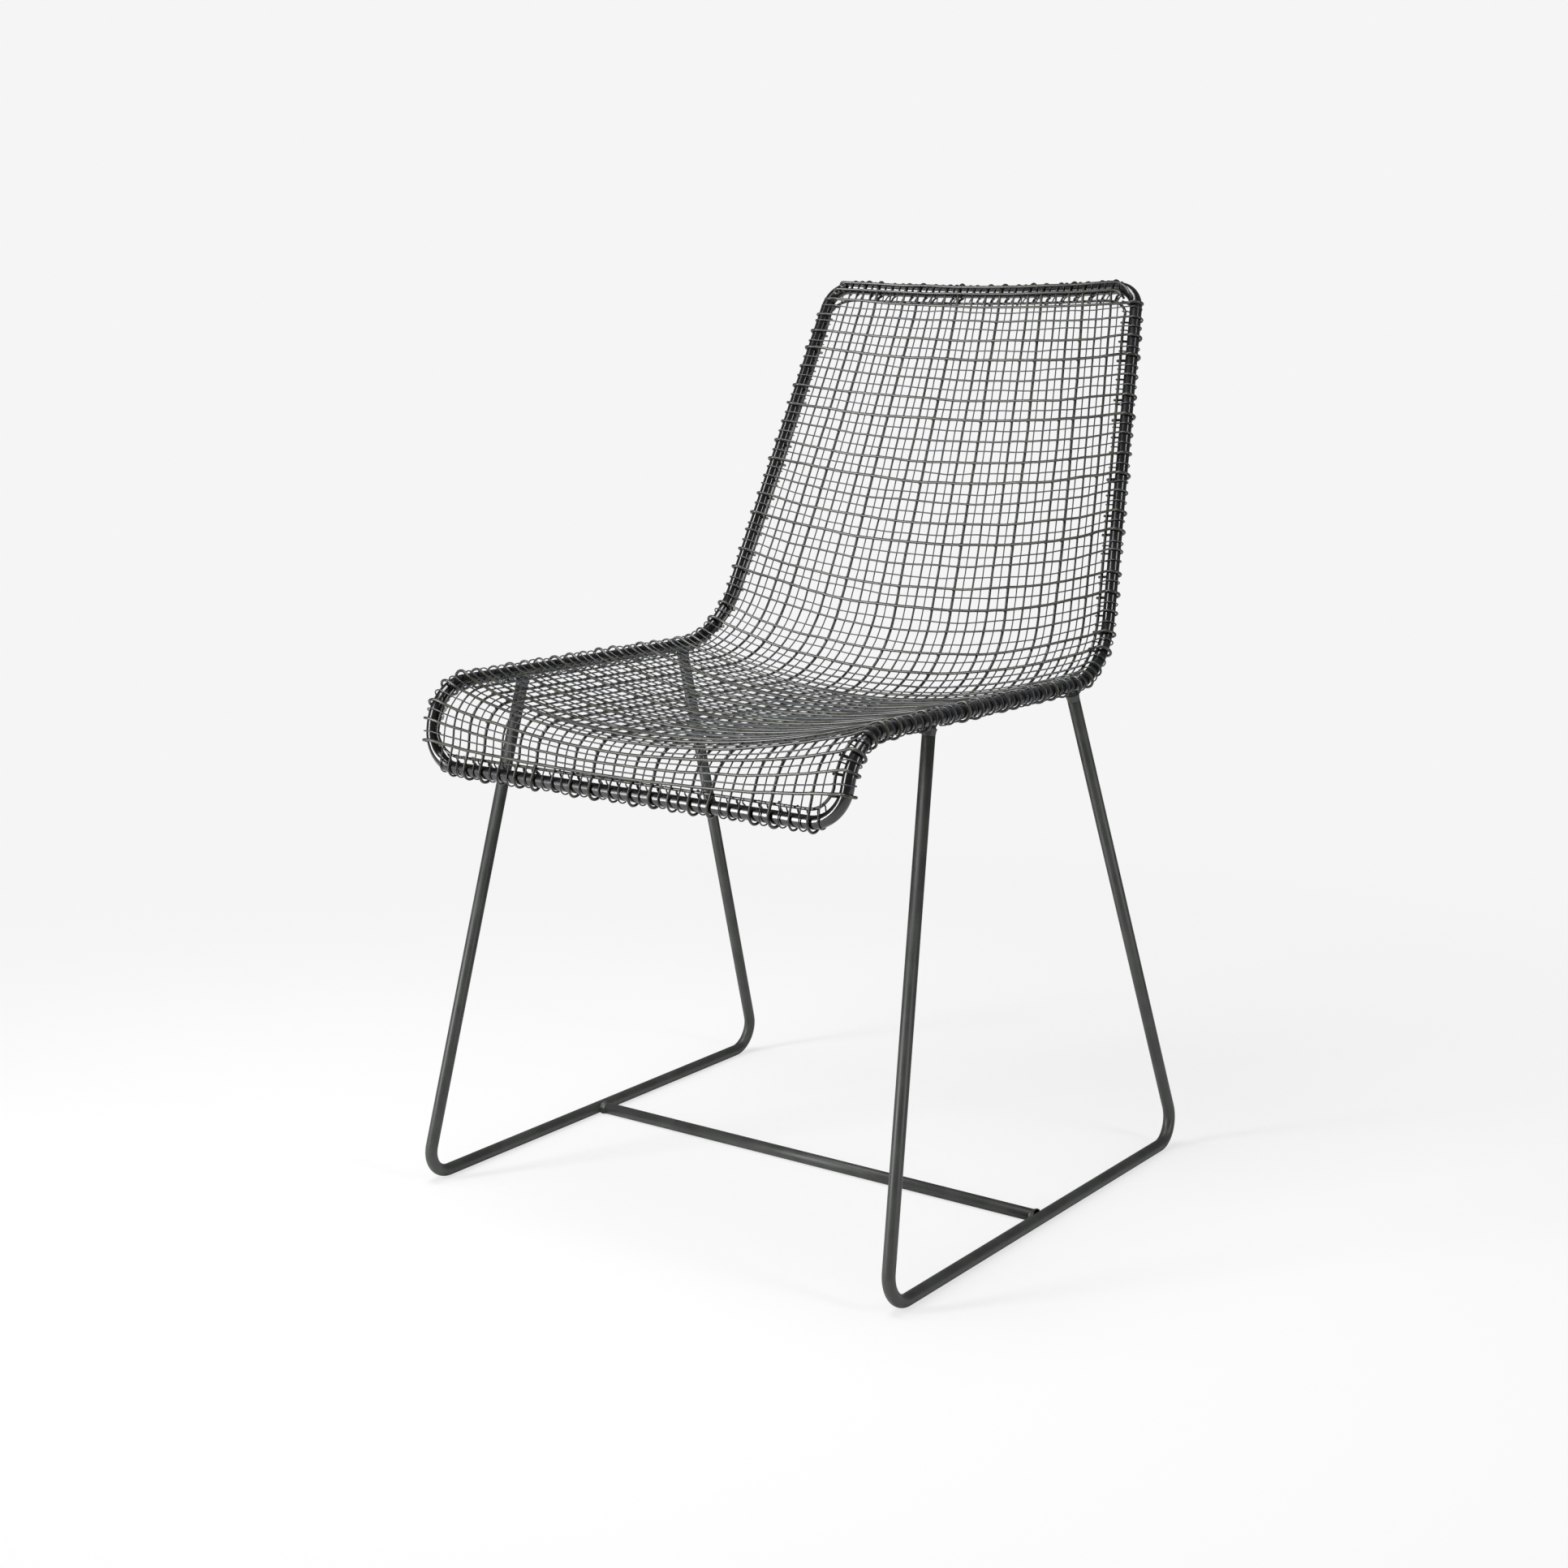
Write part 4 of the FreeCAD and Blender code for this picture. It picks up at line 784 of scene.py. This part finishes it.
def long_ends(x, depth, corner, radius, outward, normal, edge_out, loose, least_beyond):
    """The hooks of the long wires at places x and depths on the rim's run past a corner of this radius. The
    edge wire runs edge_out inside it; loose and least_beyond say how tightly the hooks are bent."""
    count = len(x)
    inset = corner_inset(np.abs(x) - corner[0] + radius, radius)
    centre = corner - outward * inset[:, None] - normal * depth[:, None]
    centre[:, 0] = x
    edge_up = ROD + SEATING - EDGE_DROP - EDGE_BEHIND
    tail = TAIL_SHORT + luck.uniform(TAIL_LEAST, TAIL_MOST, count)
    edge = np.stack([tail - edge_out, np.full(count, edge_up)], axis=1)
    beyond = luck.uniform(least_beyond, 1.7, count)
    above = 0.1 + loose * luck.uniform(0.0, 1.0, count)
    below = 0.1 + loose * luck.uniform(0.1, 1.5, count)
    lean = column_size * luck.uniform(1.1, 2.0, count) * np.where(luck.random(count) < 0.75, 1, -1)
    outward, normal, along = (
        np.repeat(direction[None], count, axis=0) for direction in (outward, normal, np.array([1.0, 0, 0])))
    return hook_points(
        centre, outward, normal, along, column_size, (above, beyond, below), edge, lean,
        np.full(count, HOOK_END))


top_x, low_x = crossing[0, columns, 0] * TOP_SQUEEZE, crossing[-1, columns, 0]
top_ends = long_ends(
    top_x, top_depth(top_x), RIM[0], TOP_RADIUS, UP_BACK, BACK_NORMAL, TOP_EDGE_GAP, 0.2, 0.1)
low_ends = long_ends(
    low_x, np.zeros(LONG_WIRES), RIM[4], LOW_RADIUS, DOWN_LIP, LIP_NORMAL, EDGE_INSET, 0.6, 0.2)
long_body = crossing[:, columns] - crossing_normal[:, columns] * ((column_size + SEATING) / 2)[:, None]
long_path = rounded(np.concatenate([top_ends[:, ::-1], long_body.transpose(1, 0, 2), low_ends], axis=1))
long_reference = np.broadcast_to(np.array([1.0, 0, 0]), long_path.shape)
print("points on a long wire:", long_path.shape[1])

# %% Long wires as pieces
for number, column in enumerate(np.flatnonzero(column_gauge == "heavy"), start=1):
    add_wires(f"heavy_long_wire_{number}", long_path[[column]], long_reference[[column]], "heavy")
for gauge in ("medium", "fine", "light"):
    chosen = column_gauge == gauge
    add_wires(f"{gauge}_long_wires", long_path[chosen], long_reference[chosen], gauge)
print("long wires drawn round:", LONG_WIRES)

# %% [markdown]
# ## Wires along the top rim
# A heavy and a medium wire lie along the sitter's side of the top rim, over the hooks. Each starts with a
# small open eye at one corner and is tucked away round the other. Drawn by hand they would float or
# sink; worked out from the rim's bow they rest on the hooks all along.

# %% Top rim wires
# Radius of the eye, the part of a turn it goes round, in degrees, and how far it slants back
EYE_RADIUS, EYE_TURN, EYE_SLANT = 2.4, (20, 310), (0.2, 1.8)
# The wires ride over the hooks at this gap, and sink by a share of how low they lie on the rod
RIDE_GAP, SINK_SHARE = 0.3, 0.25
RUN_POINTS, CORNER_POINTS, EYE_POINTS = 38, 7, 10


def top_rim_path(gauge, rise, start, last_turn):
    """A wire over the hooks at a height on the rim. It starts with an eye, follows the bowed run, and goes
    on round the corner on the sitter's left: across by radius sin, down by radius (1 - cos)."""
    size = DIAMETER[gauge]
    out = ROD + DIAMETER["heavy"] + RIDE_GAP + size / 2 - SINK_SHARE * abs(min(rise, 0))
    run_end = RIM[0, 0] - TOP_RADIUS
    x = np.linspace(start, run_end, RUN_POINTS)
    corner = np.radians(np.linspace(0, last_turn, CORNER_POINTS + 1)[1:])
    radius = TOP_RADIUS + rise
    across = np.concatenate([x, run_end + radius * np.sin(corner)])
    up = np.concatenate([np.full(RUN_POINTS, rise), rise - radius * (1 - np.cos(corner))])
    up += smooth_noise(1, len(up), 12, 0.45)[0]
    path = RIM[0] + BACK_NORMAL * out + UP_BACK * up[:, None] - BACK_NORMAL * top_depth(across)[:, None]
    path[:, 0] = across
    turn = np.radians(np.linspace(*EYE_TURN, EYE_POINTS))[:, None]
    slant = np.linspace(*EYE_SLANT, EYE_POINTS)[:, None]
    eye = path[0] - EYE_RADIUS * UP_BACK * (1 - np.cos(turn)) - BACK_NORMAL * slant
    eye[:, 0] -= EYE_RADIUS * np.sin(turn[:, 0])
    # The far end is tucked away behind the rim by two more points
    tuck = path[-1] - BACK_NORMAL * np.array([[1.5], [4.0]]) - UP_BACK * np.array([[1.5], [3.0]])
    tuck[:, 0] += [1.5, 2.0]
    return np.vstack([eye[::-1], path, tuck])


for gauge, rise, start, last_turn in (("heavy", 2.5, -152.0, 55.0), ("medium", -4.2, -158.0, 40.0)):
    path = rounded(top_rim_path(gauge, rise, start, last_turn))[None]
    reference = np.broadcast_to(BACK_NORMAL, path.shape)
    add_wires(f"top_rim_{gauge}_wire", path, reference, gauge)
    print(gauge, "wire along the top rim ends at, mm:", path[0, -1].round(1).tolist())

# %% [markdown]
# ## Welds at the crossings
# Resistance welding presses two wires into each other and leaves a small lump. The lumps show as dots
# where a heavy wire crosses. Copies of one ball would have far more faces, so each is a short double
# cone, all in one mesh, because there are hundreds.

# %% Crossing welds
def weld_lumps():
    """Lumps at every crossing with a heavy wire: four rings along the normal, the middle two wide. Heights
    and radii are shares of the thinner wire's thickness."""
    heavy_cross = (row_gauge == "heavy")[:, None] | (column_gauge == "heavy")[None]
    rows, cols = np.nonzero(heavy_cross)
    centre, normal = crossing[rows, cols + 1], crossing_normal[rows, cols + 1]
    thick = np.minimum(row_size[rows], column_size[cols])
    height = np.array([-0.55, -0.2, 0.2, 0.55])
    path = centre[:, None] + normal[:, None] * (height * thick[:, None])[..., None]
    radius = thick[:, None] * np.array([0.35, 0.8, 0.8, 0.35]) * luck.uniform(0.85, 1.15, (len(rows), 1))
    return tube_grid(path, np.broadcast_to(np.array([1.0, 0, 0]), path.shape), radius, 6)


lumps = weld_lumps()
add_piece("crossing_welds", lumps, WIRE_FINISH)
print("crossing welds:", len(lumps))

# %% [markdown]
# ## Sleds and stretcher
# Each sled is one rod: a leg down, a floor rail, a leg up, in a plane that leans in towards the seat.
# A curve with a bevel would do as well; the line of runs and arcs of the rim is at hand and gives bends
# of an exact radius. The stretcher is a straight rod between the two floor rails.

# %% Sled legs
# Half the width between the floor rails, where their runs meet the legs' lines, and the bends' radius
SLED_HALF, SLED_FRONT, SLED_REAR, SLED_RADIUS = 247.6, -259.0, 236.8, 24.0
# How far inside the rim's centre line the legs end, and how far below it
LEG_INSET, LEG_DROP = 2.0, 1.5


def rim_at(reach):
    """The rim's centre line beside the seat, at a place along the chair."""
    share = (RIM[2, 1] - reach) / (RIM[2, 1] - RIM[3, 1])
    return RIM[2] + (RIM[3] - RIM[2]) * share


front_top, rear_top = rim_at(FRONT_TOP_Y), rim_at(REAR_TOP_Y)
leg_top_x = (front_top[0] + rear_top[0]) / 2 - LEG_INSET
lean_run = np.array([leg_top_x - SLED_HALF, 0, (front_top[2] + rear_top[2]) / 2 - ROD])


def sled_point(reach, height):
    """A point of the sled's leaning plane at a reach along the chair and a height above the floor."""
    return np.array([SLED_HALF, reach, ROD]) + lean_run * ((height - ROD) / lean_run[2])


sled_corners = np.array([
    sled_point(FRONT_TOP_Y, front_top[2] - LEG_DROP),
    sled_point(SLED_FRONT, ROD),
    sled_point(SLED_REAR, ROD),
    sled_point(REAR_TOP_Y, rear_top[2] - LEG_DROP)])
sled_path = bend_line(sled_corners, [SLED_RADIUS, SLED_RADIUS], 20)
plane_normal = unit(np.cross([0.0, 1, 0], lean_run))
for side_name, mirror in (("left", 1.0), ("right", -1.0)):
    path = (sled_path * [mirror, 1, 1])[None]
    reference = np.broadcast_to(plane_normal * [mirror, 1, 1], path.shape)
    add_piece(
        f"{side_name}_sled_leg_round", tube_grid(path, reference, ROD, SLED_SIDES),
        SLED_FINISH, [f"{side_name}_sled_leg"])
print("front leg from top to floor, mm:", round(float(np.linalg.norm(sled_corners[1] - sled_corners[0])), 1))

# %% Floor stretcher
# Its place along the chair, and how far its ends sink into the rails
STRETCHER_Y, STRETCHER_SINK = -16.3, 0.5
stretcher_half = SLED_HALF - ROD + STRETCHER_SINK
stretcher_path = np.array([[[-stretcher_half, STRETCHER_Y, ROD], [stretcher_half, STRETCHER_Y, ROD]]])
stretcher_reference = np.broadcast_to(np.array([0, 0, 1.0]), stretcher_path.shape)
add_piece(
    "floor_stretcher_round", tube_grid(stretcher_path, stretcher_reference, ROD, SLED_SIDES),
    SLED_FINISH, ["floor_stretcher"])
print("stretcher, mm:", 2 * stretcher_half)

# %% [markdown]
# ## Weld beads
# A bead is a rippled collar that flares towards the piece it joins. Sculpting would do for one of them; a
# tube whose radius follows a quarter curve, with ripples from the torch moving on in steps, does for all.

# %% Weld beads
BEAD_RINGS, BEAD_SIDES, BEAD_SKIN = 10, 40, 0.05
LEG_BEAD_LENGTH, LEG_BEAD_FLARE, STRETCHER_BEAD_LENGTH, STRETCHER_BEAD_FLARE = 6.0, 0.9, 5.0, 1.2
# Where the beads start: below a leg's top beyond the rod, and before a rail beyond the rod
LEG_BEAD_BACK, STRETCHER_BEAD_BACK = 6.5, 4.5


def bead_grid(base, along, reference, length, flare, phase):
    """A collar: radius = rod + skin + flare (1 - cos), times one plus ripples that grow along it."""
    t = np.linspace(0, 1, BEAD_RINGS)[:, None]
    path = (base + along * t * length)[None]
    radius = ROD + BEAD_SKIN + flare * (1 - np.cos(t.T * np.pi / 2))
    grid = tube_grid(path, np.broadcast_to(reference, path.shape), radius, BEAD_SIDES)
    angle = np.linspace(0, 2 * np.pi, BEAD_SIDES, endpoint=False)
    ripple = 1 + t * (0.035 * np.sin(9 * angle + phase) + 0.02 * np.sin(4 * angle + phase * 2))
    return path[:, :, None] + (grid - path[:, :, None]) * ripple[None, ..., None]


for side_name, mirror in (("left", 1.0), ("right", -1.0)):
    flip = np.array([mirror, 1, 1])
    for end_name, foot, top in (
        ("front", sled_corners[1], sled_corners[0]), ("rear", sled_corners[2], sled_corners[3])):
        along = unit(top - foot)
        base = top - along * (ROD + LEG_BEAD_BACK)
        grid = bead_grid(
            base * flip, along * flip, np.array([0, 1.0, 0]), LEG_BEAD_LENGTH, LEG_BEAD_FLARE, 1.0 + mirror)
        node = f"{end_name}_{side_name}_leg_weld"
        add_piece(node + "_bead", grid, SLED_FINISH, [node])
    base = np.array([mirror * (SLED_HALF - ROD - STRETCHER_BEAD_BACK), STRETCHER_Y, ROD])
    grid = bead_grid(
        base, np.array([mirror, 0, 0]), np.array([0, 0, 1.0]),
        STRETCHER_BEAD_LENGTH, STRETCHER_BEAD_FLARE, 2.0 + mirror)
    # The bead's underside is kept just above the floor
    grid[..., 2] = np.maximum(grid[..., 2], BEAD_SKIN)
    node = f"{side_name}_stretcher_weld"
    add_piece(node + "_bead", grid, SLED_FINISH, [node])

# %% [markdown]
# ## Stage
# A plain pale floor that runs on far past the chair. A curved backdrop would hide its far edge as well;
# here the floor glows for the camera by most of its own colour, so that it meets the background without
# a line and still takes the chair's shadow, and the world lights the chair less than the camera sees.

# %% Floor and world
PALE = linear("#f5f5f5")
# Radius of the floor in metres, and the distances between which its glow rises from its least to 1
FLOOR_RADIUS, GLOW_NEAR, GLOW_FAR, GLOW_LEAST = 30, 0.45, 1.5, 0.74
# How bright the world is for the chair, where it is 1 for the camera
WORLD_LIGHT = 0.2


def pale_floor():
    """Floor material: even glow for camera rays, mixed near the chair with paper that takes its shadow."""
    material, tree, place = new_material("pale_studio_floor")
    away = add_node(tree, "ShaderNodeVectorMath", {0: place}, operation="LENGTH")
    far = add_node(tree, "ShaderNodeMapRange", {
        "Value": away.outputs["Value"], "From Min": GLOW_NEAR, "From Max": GLOW_FAR,
        "To Min": GLOW_LEAST, "To Max": 1.0}, interpolation_type="SMOOTHSTEP")
    rays = add_node(tree, "ShaderNodeLightPath")
    share = add_node(
        tree, "ShaderNodeMath", {0: rays.outputs["Is Camera Ray"], 1: far.outputs["Result"]},
        operation="MULTIPLY")
    paper = add_node(tree, "ShaderNodeBsdfDiffuse", {"Color": PALE})
    glow = add_node(tree, "ShaderNodeEmission", {"Color": PALE, "Strength": 1.0})
    both = add_node(tree, "ShaderNodeMixShader", {
        "Fac": share.outputs[0], 1: paper.outputs["BSDF"], 2: glow.outputs["Emission"]})
    add_node(tree, "ShaderNodeOutputMaterial", {"Surface": both.outputs["Shader"]})
    return material


floor_mesh = bpy.data.meshes.new("floor")
turn = np.linspace(0, 2 * np.pi, 64, endpoint=False)
floor_points = FLOOR_RADIUS * np.stack([np.cos(turn), np.sin(turn), 0 * turn], axis=1)
floor_mesh.from_pydata(floor_points.tolist(), [], [list(range(len(turn)))])
floor_mesh.materials.append(pale_floor())
floor = bpy.data.objects.new("floor", floor_mesh)
bpy.context.scene.collection.objects.link(floor)

world = bpy.data.worlds.new("studio")
bpy.context.scene.world = world
world.use_nodes = True
world.node_tree.nodes.clear()
rays = add_node(world.node_tree, "ShaderNodeLightPath")
strength = add_node(world.node_tree, "ShaderNodeMapRange", {
    "Value": rays.outputs["Is Camera Ray"], "To Min": WORLD_LIGHT, "To Max": 1.0})
sky = add_node(
    world.node_tree, "ShaderNodeBackground", {"Color": PALE, "Strength": strength.outputs["Result"]})
add_node(world.node_tree, "ShaderNodeOutputWorld", {"Surface": sky.outputs["Background"]})
print("floor radius, m:", FLOOR_RADIUS)

# %% [markdown]
# ## Lamps
# Three area lamps: a softbox above and a tall strip on each side. Point lamps would leave dots on round
# wire; the strips draw a long thin highlight along each rod, which is what makes the lacquer look glossy.

# %% Lamps
AIM = Vector((0, 0, 0.45))


def add_lamp(name, place, width, height, power):
    """A soft lamp that points at the middle of the chair; sizes in metres, power in watts."""
    data = bpy.data.lights.new(name, "AREA")
    data.shape = "RECTANGLE"
    data.size, data.size_y = width, height
    data.energy = power
    lamp = bpy.data.objects.new(name, data)
    lamp.location = place
    lamp.rotation_euler = (AIM - Vector(place)).to_track_quat("-Z", "Y").to_euler()
    bpy.context.scene.collection.objects.link(lamp)


add_lamp("overhead_softbox", (-0.3, -0.5, 2.6), 1.1, 1.1, 48.0)
add_lamp("left_strip_light", (-1.3, -2.2, 1.25), 0.45, 1.9, 70.0)
add_lamp("right_strip_light", (2.4, -0.1, 1.25), 0.3, 1.9, 24.0)
print("lamps:", len(bpy.data.lights))

# %% [markdown]
# ## Camera
# The camera stands at about the height of the chair's top, in front and on the sitter's left, and looks
# slightly down. It could be aimed by eye; here its place and lens are fitted to the photograph's
# perspective of legs and rim, so that the render can be laid over it.

# %% Camera
LENS, SENSOR = 54.54, 36.0
camera_data = bpy.data.cameras.new("camera")
camera_data.lens = LENS
camera_data.sensor_width = SENSOR
camera_data.clip_end = 100.0
camera = bpy.data.objects.new("camera", camera_data)
camera.location = (1.19774, -1.71140, 0.77496)
view_back = Vector((0.5736, -0.7949, 0.1975))
camera.rotation_euler = (-view_back).to_track_quat("-Z", "Y").to_euler()
bpy.context.scene.collection.objects.link(camera)
bpy.context.scene.camera = camera
bpy.context.scene.view_settings.view_transform = "Standard"
print("camera, m:", list(camera.location))
